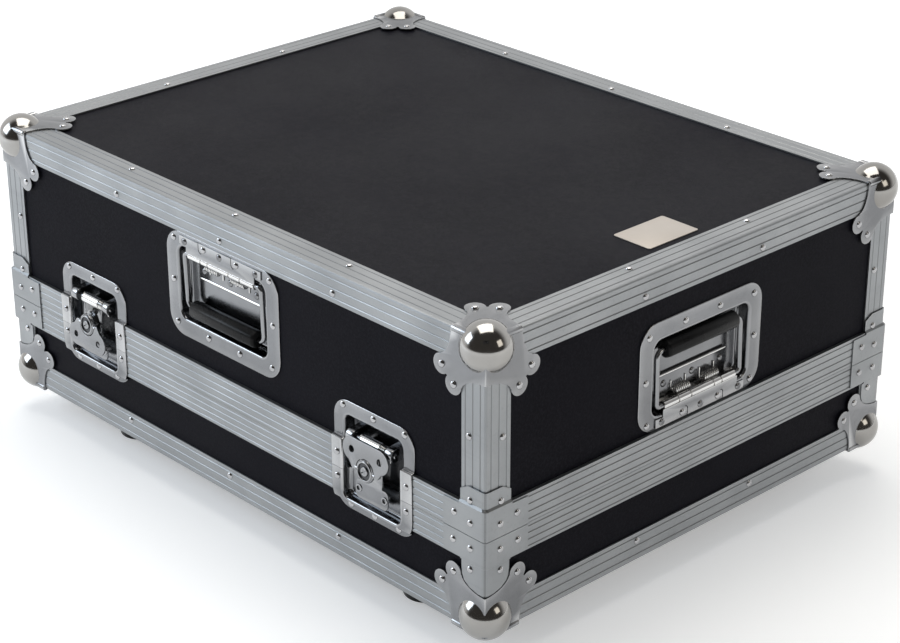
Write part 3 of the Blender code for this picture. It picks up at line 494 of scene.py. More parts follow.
def metalMaterial(name, dark, light, rough, lines, scale, metallic=1.0, stretch=(1, 1, 1), worn=0.0, grooveShade=0.0):
    paint = Paint(name, rough[0], metallic)
    tone = paint.group(patches, Scale=14.0, Detail=5.0, Low=0.0, High=1.0)
    colour = paint.mix(tone.outputs["Value"], dark, light)
    streaks = paint.group(drawnLines, Stretch=stretch, Scale=scale, Threshold=0.55, Strength=lines)
    colour = paint.mix(streaks.outputs["Mask"], colour, tuple(c * 0.62 for c in dark))
    if worn:
        wear = paint.group(edgeWear, Low=0.51, High=0.60, Amount=worn)
        colour = paint.mix(wear.outputs["Mask"], colour, (0.82, 0.82, 0.82))
    # Sloping groove walls are painted darker, a painted shade that tames their bright reflections.
    if grooveShade:
        walls = paint.group(grooveWallShade, Low=0.80, High=0.985)
        colour = paint.mix(walls.outputs["Mask"], colour, tuple(c * (1 - grooveShade) for c in light))
    paint.link(colour, paint.shader.inputs["Base Color"])
    gloss = paint.group(patches, Scale=22.0, Detail=6.0, Low=rough[0], High=rough[1])
    paint.link(gloss.outputs["Value"], paint.shader.inputs["Roughness"])
    paint.bump(streaks.outputs["Height"], 0.08, 0.0001)
    return paint.material


def rubberMaterial():
    paint = Paint("black rubber", 0.6, 0.0)
    paint.shader.inputs["IOR"].default_value = 1.22
    tone = paint.group(patches, Scale=40.0, Detail=5.0, Low=0.0, High=1.0)
    colour = paint.mix(tone.outputs["Value"], (0.0055, 0.0055, 0.0060), (0.0105, 0.0100, 0.0100))
    paint.link(colour, paint.shader.inputs["Base Color"])
    gloss = paint.group(patches, Scale=60.0, Detail=4.0, Low=0.24, High=0.36)
    paint.link(gloss.outputs["Value"], paint.shader.inputs["Roughness"])
    grain = paint.group(patches, Scale=900.0, Detail=2.0, Low=0.0, High=1.0)
    paint.bump(grain.outputs["Value"], 0.25, 0.0002)
    return paint.material


def foamMaterial():
    paint = Paint("charcoal foam", 0.95, 0.0)
    cells = paint.nodes.new("ShaderNodeTexVoronoi")
    cells.inputs["Scale"].default_value = 520.0
    coords = paint.nodes.new("ShaderNodeTexCoord")
    paint.link(coords.outputs["Object"], cells.inputs["Vector"])
    colour = paint.mix(cells.outputs["Distance"], (0.012, 0.012, 0.013), (0.05, 0.05, 0.054))
    tone = paint.group(patches, Scale=12.0, Detail=4.0, Low=0.0, High=0.35)
    colour = paint.mix(tone.outputs["Value"], colour, (0.030, 0.030, 0.032))
    paint.link(colour, paint.shader.inputs["Base Color"])
    gloss = paint.group(patches, Scale=90.0, Detail=4.0, Low=0.85, High=1.0)
    paint.link(gloss.outputs["Value"], paint.shader.inputs["Roughness"])
    paint.bump(cells.outputs["Distance"], 0.8, 0.0012)
    return paint.material


laminate = laminateMaterial()
rubber = rubberMaterial()
foam = foamMaterial()
extrusionX = metalMaterial(
    "ribbed aluminium", (0.28, 0.29, 0.298), (0.33, 0.34, 0.348), (0.34, 0.46), 0.22, 260.0, stretch=(0.03, 1, 1), grooveShade=0.35,
)
zinc = metalMaterial(
    "zinc plated sheet", (0.185, 0.189, 0.197), (0.255, 0.259, 0.268), (0.15, 0.27), 0.18, 160.0, worn=0.5,
)
chrome = metalMaterial(
    "bright chrome", (0.29, 0.28, 0.265), (0.37, 0.36, 0.345), (0.09, 0.17), 0.08, 120.0, worn=0.3,
)
# Bright steel for the springs; on the rolled barrels it is a brighter copy of the plating, a painted highlight.
steelWithHighlight = metalMaterial(
    "bright steel with painted highlight", (0.62, 0.61, 0.60), (0.72, 0.715, 0.70), (0.05, 0.12), 0.08, 120.0, worn=0.3,
)
rivetMetal = metalMaterial(
    "rivet steel", (0.36, 0.36, 0.37), (0.48, 0.48, 0.485), (0.12, 0.22), 0.15, 400.0, worn=0.3,
)
# A darker copy of the zinc, used as painted shade in recesses.
paintedPanShade = metalMaterial(
    "painted shade pan interior", (0.050, 0.051, 0.054), (0.085, 0.087, 0.092), (0.18, 0.32), 0.30, 120.0, worn=0.6,
)
darkSteel = metalMaterial(
    "dull steel", (0.12, 0.122, 0.128), (0.18, 0.183, 0.190), (0.18, 0.30), 0.25, 240.0, worn=0.4,
)
plateMetal = metalMaterial(
    "bare plate", (0.47, 0.42, 0.37), (0.53, 0.475, 0.42), (0.34, 0.46), 0.06, 300.0, metallic=0.35,
)
print("materials ready")


# CAD nodes that stay take their finishes here

def dressNode(node, material):
    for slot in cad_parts[node].material_slots:
        slot.material = material


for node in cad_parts:
    if "panel" in node:
        dressNode(node, laminate)
    elif node in ("base_frame", "lid_edge_extrusions", "lid_closing_frame"):
        dressNode(node, extrusionX)
    elif "carrier" in node or "hook" in node:
        dressNode(node, darkSteel)
    elif "rotor" in node:
        dressNode(node, chrome)
    elif "foot" in node or "grip" in node:
        dressNode(node, rubber)
    elif "foam" in node:
        dressNode(node, foam)
    else:
        dressNode(node, zinc)
print("frame dressed")


# Ball corners

ballCorner = {
    "ballRadius": 0.0242,
    "ballInset": 0.014,
    "arch": 0.042,
    "archEnd": 0.057,
    "ear": 0.0098,
    "earFar": 0.054,
    "earNear": 0.039,
    "beadRadius": 0.0034,
    "beadInset": 0.0006,
    "fillet": 0.0022,
}


def cornerOutline():
    size = ballCorner
    edge = 0.0005 - case["gap"] - case["sheet"]
    side = size["earNear"] - size["ear"]
    sweep = []
    for i in range(9):
        angle = radians(90 * i / 9)
        sweep.append((side * sin(angle), size["archEnd"] - (size["archEnd"] - size["arch"]) * cos(angle)))
    ear = arcPoints(size["earNear"], size["earFar"], size["ear"], 180, -38, 20)
    half = [(edge, size["arch"])] + sweep + ear
    return [(edge, edge)] + half + [(b, a) for a, b in reversed(half)]


def roundBallSeam(piece, centre):
    # The sheet is drawn up into the ball with a soft fillet.
    pick(piece)
    bpy.ops.object.mode_set(mode="EDIT")
    bpy.ops.mesh.select_mode(type="EDGE")
    bpy.ops.mesh.select_all(action="DESELECT")
    edit = bmesh.from_edit_mesh(piece.data)
    for edge in edit.edges:
        onBall = all(abs((vert.co - centre).length - ballCorner["ballRadius"]) < 0.00012 for vert in edge.verts)
        if onBall and len(edge.link_faces) == 2 and edge.calc_face_angle(0) > radians(15):
            edge.select = min(vert.co[i] for vert in edge.verts for i in range(3)) > -0.06
    edit.select_flush(False)
    bmesh.update_edit_mesh(piece.data)
    bpy.ops.mesh.bevel(offset=ballCorner["fillet"], segments=4, affect="EDGES", clamp_overlap=True)
    bpy.ops.object.mode_set(mode="OBJECT")


def modelBallCorner():
    size = ballCorner
    outline = [(-a, -b) for a, b in cornerOutline()]
    cycle = Matrix(((0, 0, 1, 0), (1, 0, 0, 0), (0, 1, 0, 0), (0, 0, 0, 1)))
    turns = (Matrix.Identity(4), cycle, cycle @ cycle)
    piece = None
    for turn in turns:
        plate = drawPlate("plate", outline, case["gap"] / 2, case["gap"] + case["sheet"])
        plate.data.transform(turn)
        piece = merged(piece, plate) if piece else plate
    piece = bevelled(piece, 0.00045, 2, 30)
    tip = drawBlock("tip", *(3 * (-0.006, 0.02)))
    piece = merged(piece, tip, "DIFFERENCE")
    deselectAll()
    inset = -size["ballInset"]
    bpy.ops.mesh.primitive_uv_sphere_add(
        segments=48, ring_count=24, radius=size["ballRadius"], location=(inset, inset, inset),
    )
    bpy.ops.object.transform_apply(location=True, rotation=True, scale=True)
    piece = merged(piece, named("ball"))
    roundBallSeam(piece, Vector((inset, inset, inset)))
    for turn in turns[1:]:
        # the upright arris has no bead
        reach = size["arch"] - 0.0007
        ends = ((-0.0006, -reach), (0, 0.0006 - reach), (0, inset))
        loops = [circleLoop(size["beadRadius"] + grow, w, 20) for grow, w in ends]
        loops = [[(u - size["beadInset"], v - size["beadInset"], w) for u, v, w in loop] for loop in loops]
        bead = drawLoops("bead", loops)
        bead.data.transform(turn)
        piece = merged(piece, bead)
    reach = 0.08
    inside = drawBlock("inside", -reach, case["gap"], -reach, case["gap"], -reach, case["gap"])
    piece = merged(piece, inside, "DIFFERENCE")
    piece.data.materials.clear()
    piece.data.materials.append(zinc)
    piece.data.materials.append(chrome)
    for polygon in piece.data.polygons:
        out = (polygon.center - Vector((inset, inset, inset))).length - size["ballRadius"]
        polygon.material_index = 1 if abs(out) < 0.0004 and max(polygon.center) > case["gap"] + case["sheet"] else 0
    return smoothed(named("ballCorner"), 38)


cornerMaster = modelBallCorner()
flipOver = Matrix.Rotation(pi, 4, Vector((1, 1, 0)))
for level, height, tilt in (("lid", case["top"], Matrix.Identity(4)), ("base", case["footHeight"], flipOver)):
    for k, (sx, sy) in enumerate(((1, 1), (-1, 1), (-1, -1), (1, -1))):
        end = ("front" if sy < 0 else "rear") + "_" + ("left" if sx < 0 else "right")
        vertex = Matrix.Translation((sx * case["halfWidth"], sy * case["halfDepth"], height))
        matrix = vertex @ Matrix.Rotation(k * pi / 2, 4, "Z") @ tilt
        copy = placedCopy(cornerMaster, f"ball_corner_{level}_{end}", matrix)
        finish(copy, level, None, "chrome", f"{level}_corner_{end}")
bpy.data.objects.remove(cornerMaster)
print("ball corners done")


# Dishes pressed from sheet, shared by latches and handles

def modelDish(name, size):
    # Loops run from the pan's floor over the lip and flange to the back.
    top = flangeTop
    depth = size["depth"]
    u0, u1, v0, v1 = size["opening"]
    radius = size["openingRadius"]
    half = (size["width"] / 2, size["height"] / 2)

    def grown(by, w):
        return roundedLoop(u0 - by, u1 + by, v0 - by, v1 + by, max(radius + by, 0.001), w)

    def rim(by, w):
        return roundedLoop(-half[0] - by, half[0] + by, -half[1] - by, half[1] + by, size["corner"] + by, w)

    inner = [
        (-0.0048, -depth), (-0.0034, 0.0003 - depth), (-0.0023, 0.0011 - depth), (-0.0017, 0.0024 - depth),
        (-0.0004, top - 0.0022), (-0.0001, top - 0.0009), (0.0005, top), (0.0013, top + size["lip"]),
        (0.0024, top + size["lip"]), (0.0034, top + size["lip"] * 0.25), (0.0042, top),
    ]
    outer = [(-0.0008, top), (-0.0002, top - 0.0002), (0.0, top - 0.0005), (0.0, top - 0.0011), (-0.0003, top - 0.0012)]
    loops = [grown(by, w) for by, w in inner] + [rim(by, w) for by, w in outer]
    loops.append(grown(case["sheet"], top - case["sheet"]))
    loops.append(grown(-0.0003, -depth - case["sheet"]))
    return drawLoops(name, loops)


def bisected(piece, v, keep=0, skin=None):
    # Cuts across at height v; keep is 1 for the part above, -1 for below.
    pick(piece)
    bpy.ops.object.mode_set(mode="EDIT")
    bpy.ops.mesh.select_all(action="DESELECT")
    edit = bmesh.from_edit_mesh(piece.data)
    for face in edit.faces:
        if skin is None or max(vert.co.z for vert in face.verts) > skin:
            face.select = True
    edit.select_flush(True)
    bmesh.update_edit_mesh(piece.data)
    bpy.ops.mesh.bisect(
        plane_co=(0, v, 0), plane_no=(0, 1, 0), use_fill=keep != 0,
        clear_inner=keep > 0, clear_outer=keep < 0, threshold=0.000001,
    )
    bpy.ops.object.mode_set(mode="OBJECT")
    return piece


latch = {
    "width": 0.110,
    "height": 0.112,
    "corner": 0.020,
    "opening": (-0.0395, 0.0395, -0.0432, 0.0415),
    "openingRadius": 0.007,
    "lip": 0.0004,
    "joggle": 0.0041,  # rise of the flange over the closing profile
    "joggleLow": -0.046,
    "joggleHigh": 0.0155,
    "ramp": 0.002,
    "lidDepth": 0.011,
    "baseDepth": 0.005,
    "seam": -0.015,
}


def modelLatchDish(name, depth):
    size = dict(latch, depth=depth)
    piece = modelDish(name, size)
    skin = flangeTop - 0.0022
    steps = (0.0, 0.12, 0.5, 0.88, 1.0)
    cuts = []
    for i, rise in enumerate(steps):
        cuts.append((latch["joggleLow"] - latch["ramp"] * (1 - i / 4), rise))
        cuts.append((latch["joggleHigh"] + latch["ramp"] * (1 - i / 4), rise))
    for v, rise in cuts:
        bisected(piece, v, 0, skin)
    for vert in piece.data.vertices:
        if vert.co.z > flangeTop - 0.0020:
            below = (vert.co.y - (latch["joggleLow"] - latch["ramp"])) / latch["ramp"]
            above = (latch["joggleHigh"] + latch["ramp"] - vert.co.y) / latch["ramp"]
            t = max(0.0, min(1.0, below, above))
            vert.co.z += latch["joggle"] * t * t * (3 - 2 * t)
    return piece


def paintShadeInside(piece, below):
    # The pressed-in part is painted darker than the flange: painted shade in the deep pan.
    piece.data.materials.clear()
    piece.data.materials.append(zinc)
    piece.data.materials.append(paintedPanShade)
    for polygon in piece.data.polygons:
        polygon.material_index = 1 if polygon.center.z < below else 0
    return piece


lidDish = modelLatchDish("lidDish", latch["lidDepth"])
lidDish = smoothed(bisected(lidDish, latch["seam"] + 0.00015, 1), 40)
# The lid dish's deep pan below the flange gets the painted shade.
lidDish = paintShadeInside(lidDish, -0.0042)
baseDish = modelLatchDish("baseDish", latch["baseDepth"])
baseDish = smoothed(bisected(baseDish, latch["seam"] - 0.00015, -1), 40)


# Latch parts

latchAxle = {"height": 0.0245, "out": 0.0005, "radius": 0.0025, "bracketRadius": 0.0065, "inner": 0.022, "outer": 0.031}


def modelAxle():
    size = latchAxle
    parts = [drawRod("axle", size["radius"], -size["outer"] - 0.0008, size["outer"] + 0.0008, size["height"], size["out"])]
    floor = -latch["lidDepth"] - 0.0006
    cheek = arcPoints(size["height"], size["out"], size["bracketRadius"], 0, 180, 20)
    foot = size["bracketRadius"] + 0.0012
    cheek += [(size["height"] - foot, floor), (size["height"] + foot, floor)]
    for sign in (-1, 1):
        a, b = sorted((sign * size["inner"], sign * size["outer"]))
        loops = [[(u, v, w) for v, w in cheek] for u in (a, b)]
        parts.append(bevelled(drawLoops("bracket", loops), 0.0006, 3))
    piece = parts[0]
    for part in parts[1:]:
        piece = merged(piece, part)
    return smoothed(named("axle"), 35)


axleMaster = modelAxle()
keeperMaster = bevelled(drawBlock("keeper", -0.014, 0.014, -0.0293, -0.0260, -0.0056, -0.0022), 0.0005, 2)

carrier = {
    "half": 0.0155, "sheet": 0.0015, "wallDepth": 0.0085, "wallLow": 0.009, "plateLow": 0.014,
    "barrel": 0.0056, "barrelHalf": 0.0130, "axisDrop": 0.0245, "axisIn": 0.0005, "hole": 0.0093, "bore": 0.0028,
}


def modelCarrier():
    # Origin on the axle: a channel hung from a rolled barrel.
    size = carrier
    half, inner, back = size["half"], size["half"] - size["sheet"], -size["wallDepth"]
    face = size["sheet"]
    section = [
        (-half, back), (-inner, back), (-inner, 0), (inner, 0), (inner, back), (half, back), (half, face), (-half, face),
    ]
    low, top = -size["axisDrop"] - size["wallLow"], -0.003
    channel = drawLoops("channel", [[(u, v, w - size["axisIn"]) for u, w in section] for v in (low, top)])
    plateLow = -size["axisDrop"] - size["plateLow"]
    outline = [(u, v) for u, v, w in roundedLoop(-half, half, plateLow, top, 0.0012, 0, 3)]
    plate = drawPlate("plate", outline, -size["axisIn"], face - size["axisIn"])
    piece = bevelled(merged(channel, plate), 0.0004, 2)
    piece = merged(piece, drawRod("barrel", size["barrel"], -size["barrelHalf"], size["barrelHalf"], 0, 0, 32, 0.0006))
    piece = merged(piece, drawRod("bore", size["bore"], -0.04, 0.04, 0, 0, 24, 0), "DIFFERENCE")
    hole = drawLoops("hole", [circleLoop(size["hole"], w, 36, (0, -size["axisDrop"])) for w in (-0.01, 0.01)])
    piece = merged(piece, hole, "DIFFERENCE")
    # The rolled barrel takes the bright steel, a painted highlight on the plated sheet.
    piece.data.materials.clear()
    piece.data.materials.append(zinc)
    piece.data.materials.append(steelWithHighlight)
    for polygon in piece.data.polygons:
        polygon.material_index = 1 if hypot(polygon.center.y, polygon.center.z) < size["barrel"] + 0.0003 else 0
    return smoothed(piece, 35)


def sweepWire(path, radius):
    loops = []
    for i, point in enumerate(path):
        run = (path[min(i + 1, len(path) - 1)] - path[max(i - 1, 0)]).normalized()
        side = run.cross(Vector((1, 0, 0.001))).normalized()
        up = side.cross(run)
        ring = arcPoints(0, 0, radius, 0, 360, 8)[:-1]
        loops.append([point + side * x + up * y for x, y in ring])
    return drawLoops("wire", loops)


coil = {"wire": 0.00062, "radius": 0.0046, "inner": 0.0138, "step": 0.0017, "turns": ((-1, 1), (1, 4)), "tail": 0.015}


def modelCoil():
    # Torsion spring: the wire is swept round the axle and ends in a straight tail.
    size = coil
    pieces = []
    for sign, turns in size["turns"]:
        path = []
        for i in range(turns * 16 + 1):
            angle = 2 * pi * i / 16
            u = size["inner"] + size["step"] * i / 16
            path.append(Vector((sign * u, size["radius"] * cos(angle), size["radius"] * sin(angle))))
        path.append(path[-1] + Vector((0, -size["tail"] * 0.1, -0.0008)))
        path.append(path[-1] + Vector((0, -size["tail"], -0.0030)))
        pieces.append(sweepWire(path, size["wire"]))
    return smoothed(joined("coil", pieces), 50)


hook = {
    "half": 0.0132, "top": 0.0128, "teeHalf": 0.022, "teeTop": 0.017, "low": 0.036, "corner": 0.005, "sheet": 0.0015,
    "lipDepth": 0.0042, "lipHalf": 0.014, "cam": 0.00245, "eye": (0.0176, -0.0262), "eyeHole": 0.0024, "eyeRim": 0.0040,
}


def modelHook():
    # Origin on the rotor's axis at the back of the carrier plate.
    size = hook
    front = -case["gap"]
    back = front - size["sheet"]
    tee = roundedLoop(-size["teeHalf"], size["teeHalf"], -size["low"], -size["teeTop"], size["corner"], 0, 6)
    tee = [(u, v) for u, v, w in tee]
    outline = [(-size["half"], size["top"]), (-size["half"], -size["teeTop"])]
    outline += tee[7:] + tee[:7] + [(size["half"], -size["teeTop"]), (size["half"], size["top"])]
    piece = drawPlate("hook", outline, back, front)
    lipLow, lipTop = 0.00012 - size["low"], back + 0.0007
    low = front - size["lipDepth"]
    lip = drawBlock("lip", -size["lipHalf"], size["lipHalf"], lipLow, lipLow + size["sheet"], low, lipTop)
    piece = bevelled(merged(piece, lip), 0.0003, 2)
    slot = roundedLoop(-0.0060, 0.0060, -size["cam"] - 0.0034, -size["cam"] + 0.0034, 0.0030, 0, 6)
    cut = drawLoops("slot", [[(u, v, w) for u, v, _ in slot] for w in (back - 0.01, front + 0.01)])
    piece = merged(piece, cut, "DIFFERENCE")
    for sign in (-1, 1):
        centre = (sign * size["eye"][0], size["eye"][1])
        rim = size["eyeRim"]
        raised = ((rim, back + 0.0004), (rim, front + 0.0003), (rim - 0.0003, front + 0.0008), (rim - 0.0010, front + 0.0010))
        piece = merged(piece, drawLoops("eye", [circleLoop(r, w, 28, centre) for r, w in raised]))
        hole = drawLoops("hole", [circleLoop(size["eyeHole"], w, 24, centre) for w in (-0.01, 0.01)])
        piece = merged(piece, hole, "DIFFERENCE")
    return smoothed(piece, 35)


carrierMaster = modelCarrier()
coilMaster = modelCoil()
hookMaster = modelHook()

wing = {
    "thick": 0.0016, "lobe": 0.012, "out": 0.019, "up": 0.016, "earOut": 0.017, "earDrop": 0.0024,
    "hole": 0.0035, "hollow": 0.0122, "pin": 0.0014,
}


def modelWing():
    size = wing
    right = [(size["earOut"], -size["earDrop"])]
    right += arcPoints(size["out"], size["up"], size["lobe"], -75, 90, 22)
    left = [(-u, v) for u, v in reversed(right)]
    outline = right + left + [(-size["hollow"], -size["earDrop"])]
    outline += arcPoints(0, 0, size["hollow"], 180, 0, 28)
    outline += [(size["hollow"], -size["earDrop"])]
    piece = drawPlate("wing", outline, -size["thick"] / 2, size["thick"] / 2)
    for sign in (-1, 1):
        centre = (sign * size["out"], size["up"])
        hole = drawLoops("hole", [circleLoop(size["hole"], w, 24, centre) for w in (-0.01, 0.01)])
        piece = merged(piece, hole, "DIFFERENCE")
    piece = bevelled(piece, 0.0004, 3)
    for sign in (-1, 1):
        a, b = sorted((sign * (size["hollow"] - 0.004), sign * (size["hollow"] + 0.0015)))
        piece = merged(piece, drawRod("pin", size["pin"], a, b, 0, 0, 16, 0.0002))
    return smoothed(named("wing"), 35)


wingMaster = modelWing()

rotor = {"radius": 0.0115, "front": 0.0108, "back": 0.0066, "post": 0.0088}


def modelRotor():
    size = rotor
    r, f = size["radius"], size["front"]
    profile = [
        (size["post"], 0.0), (size["post"], size["back"]), (r - 0.0004, size["back"]), (r, size["back"] + 0.0004),
        (r, f - 0.0018), (r - 0.0004, f - 0.0012), (0.0103, f - 0.0009), (0.0099, f - 0.0002), (0.0095, f),
        (0.0086, f), (0.0082, f - 0.0003), (0.0078, f - 0.0013), (0.0050, f - 0.0013), (0.0046, f - 0.0004),
        (0.0042, f - 0.0001), (0.0012, f - 0.0001),
    ]
    piece = drawLoops("rotor", [circleLoop(radius, w, 40) for radius, w in profile])
    slot = drawBlock("slot", -0.0036, 0.0036, -0.0006, 0.0006, f - 0.0009, f + 0.001)
    slot.data.transform(Matrix.Rotation(radians(35), 4, "Z"))
    piece = merged(piece, slot, "DIFFERENCE")
    for low in (-0.0125, 0.0080):
        bore = drawRod("bore", 0.0017, low, low + 0.0045, 0, 0.0087, 16, 0)
        piece = merged(piece, bore, "DIFFERENCE")
    profile = [(0.005, -0.0036), (0.005, -0.0021), (0.003, -0.0021), (0.003, 0.001)]
    cam = drawLoops("cam", [circleLoop(radius, w, 20, (0, -0.00245)) for radius, w in profile])
    piece = merged(piece, cam)
    # The recessed ring on the face takes the darker zinc, painted shade in the recess.
    piece.data.materials.clear()
    piece.data.materials.append(zinc)
    piece.data.materials.append(paintedPanShade)
    for polygon in piece.data.polygons:
        radius = hypot(polygon.center.x, polygon.center.y)
        deep = 0.0040 < radius < 0.0084 and abs(polygon.center.z - f) < 0.003
        polygon.material_index = 1 if deep else 0
    return smoothed(named("rotor"), 35)


rotorMaster = modelRotor()

for site in latchSites:
    at = latchMatrix(site)
    swing = swingMatrix(site)
    toRotor = swing @ Matrix.Translation((0, -0.0245, -0.0005))
    flipped = Matrix.Rotation(pi if site in ("front_left", "rear_right") else 0, 4, "X")
    prefix = f"latch_{site}"
    finish(placedCopy(lidDish, f"{prefix}_upper_dish", at), "lid", None, "zinc", f"{prefix}_lid_dish")
    finish(placedCopy(axleMaster, f"{prefix}_axle", at), "lid", zinc, "zinc", f"{prefix}_lid_dish")
    finish(placedCopy(baseDish, f"{prefix}_lower_dish", at), "base", zinc, "zinc", f"{prefix}_base_dish")
    finish(placedCopy(keeperMaster, f"{prefix}_keeper", at), "base", zinc, "zinc", f"{prefix}_base_dish")
    finish(placedCopy(carrierMaster, f"{prefix}_channel", swing), f"{prefix}_swing", None, "zinc", f"{prefix}_carrier")
    finish(placedCopy(coilMaster, f"{prefix}_springs", swing), f"{prefix}_swing", steelWithHighlight, "zinc")
    finish(placedCopy(hookMaster, f"{prefix}_hook_plate", toRotor), f"{prefix}_hook", zinc, "zinc", f"{prefix}_hook")
    place = toRotor @ Matrix.Translation((0, 0, 0.0087)) @ flipped
    finish(placedCopy(wingMaster, f"{prefix}_butterfly", place), f"{prefix}_wing", zinc, "zinc", f"{prefix}_wing")
    finish(placedCopy(rotorMaster, f"{prefix}_disc", toRotor), f"{prefix}_rotor", None, "chrome", f"{prefix}_rotor")
for master in (lidDish, axleMaster, baseDish, keeperMaster, wingMaster, rotorMaster, carrierMaster, coilMaster, hookMaster):
    bpy.data.objects.remove(master)
print("latches done")


# Handles

handle = {
    "width": 0.170,
    "height": 0.111,
    "corner": 0.022,
    "opening": (-0.0665, 0.0665, -0.0365, 0.041),
    "openingRadius": 0.010,
    "lip": 0.0005,
    "depth": 0.014,
    "pinUp": 0.034,
    "pinIn": 0.0028,
}


hinge = {
    "half": 0.062, "top": 0.053, "step": 0.044, "narrow": 0.052, "sheet": 0.0015, "barrel": 0.0042, "barrelHalf": 0.050,
    "bore": 0.0031, "breaks": (-0.030, -0.019, 0.013, 0.030), "marks": (-0.0325, 0.0175),
    "leafHalf": 0.047, "leafLow": 0.0085, "leafIn": 0.0128, "roll": 0.0015,
}


def modelHingePlate():
    size = hinge
    top = flangeTop
    half, narrow, pinUp = size["half"], size["narrow"], handle["pinUp"]
    outline = [
        (-half, size["top"]), (-half, size["step"]), (-narrow, size["step"]), (-narrow, pinUp + 0.0022),
        (narrow, pinUp + 0.0022), (narrow, size["step"]), (half, size["step"]), (half, size["top"]),
    ]
    piece = drawPlate("leaf", outline, top + 0.0001, top + size["sheet"])
    for u in size["marks"]:
        # a curved relief cut beside each bright rivet
        line = [(u, 0.060), (u, 0.047)] + arcPoints(u + 0.0045, 0.047, 0.0045, 180, 265, 8)
        inner = arcPoints(u + 0.0045, 0.047, 0.0037, 265, 180, 8) + [(u + 0.0008, 0.047), (u + 0.0008, 0.060)]
        piece = merged(piece, drawPlate("mark", line + inner, top - 0.001, top + 0.004), "DIFFERENCE")
    piece = bevelled(piece, 0.0004, 2)
    # The rolled barrel is parted into knuckles.
    stations = [(-0.0005, -size["barrelHalf"]), (0, 0.0005 - size["barrelHalf"])]
    for u in size["breaks"]:
        stations += [(0, u - 0.0009), (-0.0009, u - 0.0006), (-0.0009, u + 0.0006), (0, u + 0.0009)]
    stations += [(0, size["barrelHalf"] - 0.0005), (-0.0005, size["barrelHalf"])]
    loops = []
    for grow, u in stations:
        ring = arcPoints(pinUp, -handle["pinIn"], size["barrel"] + grow, 0, 360, 32)[:-1]
        loops.append([(u, v, w) for v, w in ring])
    piece = merged(piece, drawLoops("barrel", loops))
    leafIn = -size["leafIn"]
    spring = drawBlock("spring", -size["leafHalf"], size["leafHalf"], size["leafLow"], pinUp, leafIn, leafIn + 0.0015)
    spring = bevelled(spring, 0.0004, 2)
    piece = merged(piece, spring)
    web = drawBlock("web", -size["leafHalf"], size["leafHalf"], pinUp - 0.0008, pinUp + 0.0008, leafIn, -handle["pinIn"])
    piece = merged(piece, web)
    roll = drawRod("roll", size["roll"], -size["leafHalf"], size["leafHalf"], size["leafLow"], leafIn + 0.0008, 20)
    piece = merged(piece, roll)
    piece = merged(piece, drawRod("bore", size["bore"], -0.056, 0.056, pinUp, -handle["pinIn"], 20, 0), "DIFFERENCE")
    # The barrel and the rolled leaf edge take the bright steel, a painted highlight on the plated sheet.
    piece.data.materials.clear()
    piece.data.materials.append(zinc)
    piece.data.materials.append(steelWithHighlight)
    for polygon in piece.data.polygons:
        u, v, w = polygon.center
        rolled = abs(hypot(v - pinUp, w + handle["pinIn"]) - size["barrel"]) < 0.0012
        rolled = rolled or hypot(v - size["leafLow"], w - leafIn - 0.0008) < size["roll"] + 0.0002
        polygon.material_index = 1 if rolled else 0
    return smoothed(named("hingePlate"), 35)


handleSpring = {
    "wire": 0.0007, "radius": 0.0036, "turns": 8, "inner": 0.010, "outer": 0.030, "up": 0.0265, "in": 0.0071, "tail": 0.009,
    "leafTop": 0.0106,
}


def modelHandleSpring():
    # Two coils beside the barrel, each with a tail that lies on the leaf.
    size = handleSpring
    pieces = []
    for sign in (-1, 1):
        steps = size["turns"] * 12
        path = [Vector((sign * size["inner"], size["up"] - size["tail"], -size["leafTop"]))]
        for i in range(steps + 1):
            angle = 2 * pi * i / 12 - pi / 2
            u = size["inner"] + (size["outer"] - size["inner"]) * i / steps
            point = Vector((sign * u, size["up"] + size["radius"] * cos(angle), size["radius"] * sin(angle) - size["in"]))
            path.append(point)
        path.append(Vector((sign * size["outer"], size["up"] - size["tail"], -size["leafTop"])))
        pieces.append(sweepWire(path, size["wire"]))
    return smoothed(joined("handleSpring", pieces), 50)


bail = {"outer": 0.061, "wire": 0.0028, "bendPin": 0.004, "bendGrip": 0.008, "drop": 0.057, "in": -0.0014}


def modelBail():
    # One round wire bent into a closed loop, its upper run the hinge pin.
    reach = Vector((bail["drop"], bail["in"])).length
    down = Vector((0, -bail["drop"], bail["in"])) / reach
    across = Vector((1, 0, 0)).cross(down)
    half = bail["outer"] - bail["wire"]
    bends = (
        (half, reach, bail["bendGrip"], 0), (-half, reach, bail["bendGrip"], 90),
        (-half, 0, bail["bendPin"], 180), (half, 0, bail["bendPin"], 270),
    )
    loops = []
    for u, along, bend, start in bends:
        u -= bend if u > 0 else -bend
        along += bend if along == 0 else -bend
        for i in range(9):
            angle = radians(start + 90 * i / 8)
            outward = Vector((cos(angle), 0, 0)) + down * sin(angle)
            centre = Vector((u, 0, 0)) + down * along + outward * bend
            ring = arcPoints(0, 0, bail["wire"], 0, 360, 16)[:-1]
            loops.append([centre + outward * x + across * y for x, y in ring])
    piece = drawLoops("bail", loops, capped=False)
    bpy.ops.object.mode_set(mode="EDIT")
    bpy.ops.mesh.select_mode(type="EDGE")
    bpy.ops.mesh.select_all(action="DESELECT")
    bpy.ops.mesh.select_non_manifold()
    bpy.ops.mesh.bridge_edge_loops()
    bpy.ops.mesh.select_all(action="SELECT")
    bpy.ops.mesh.normals_make_consistent(inside=False)
    bpy.ops.object.mode_set(mode="OBJECT")
    return smoothed(piece, 50)


grip = {"half": 0.0495, "radius": 0.0093, "ridge": 0.03, "bore": 0.0031}


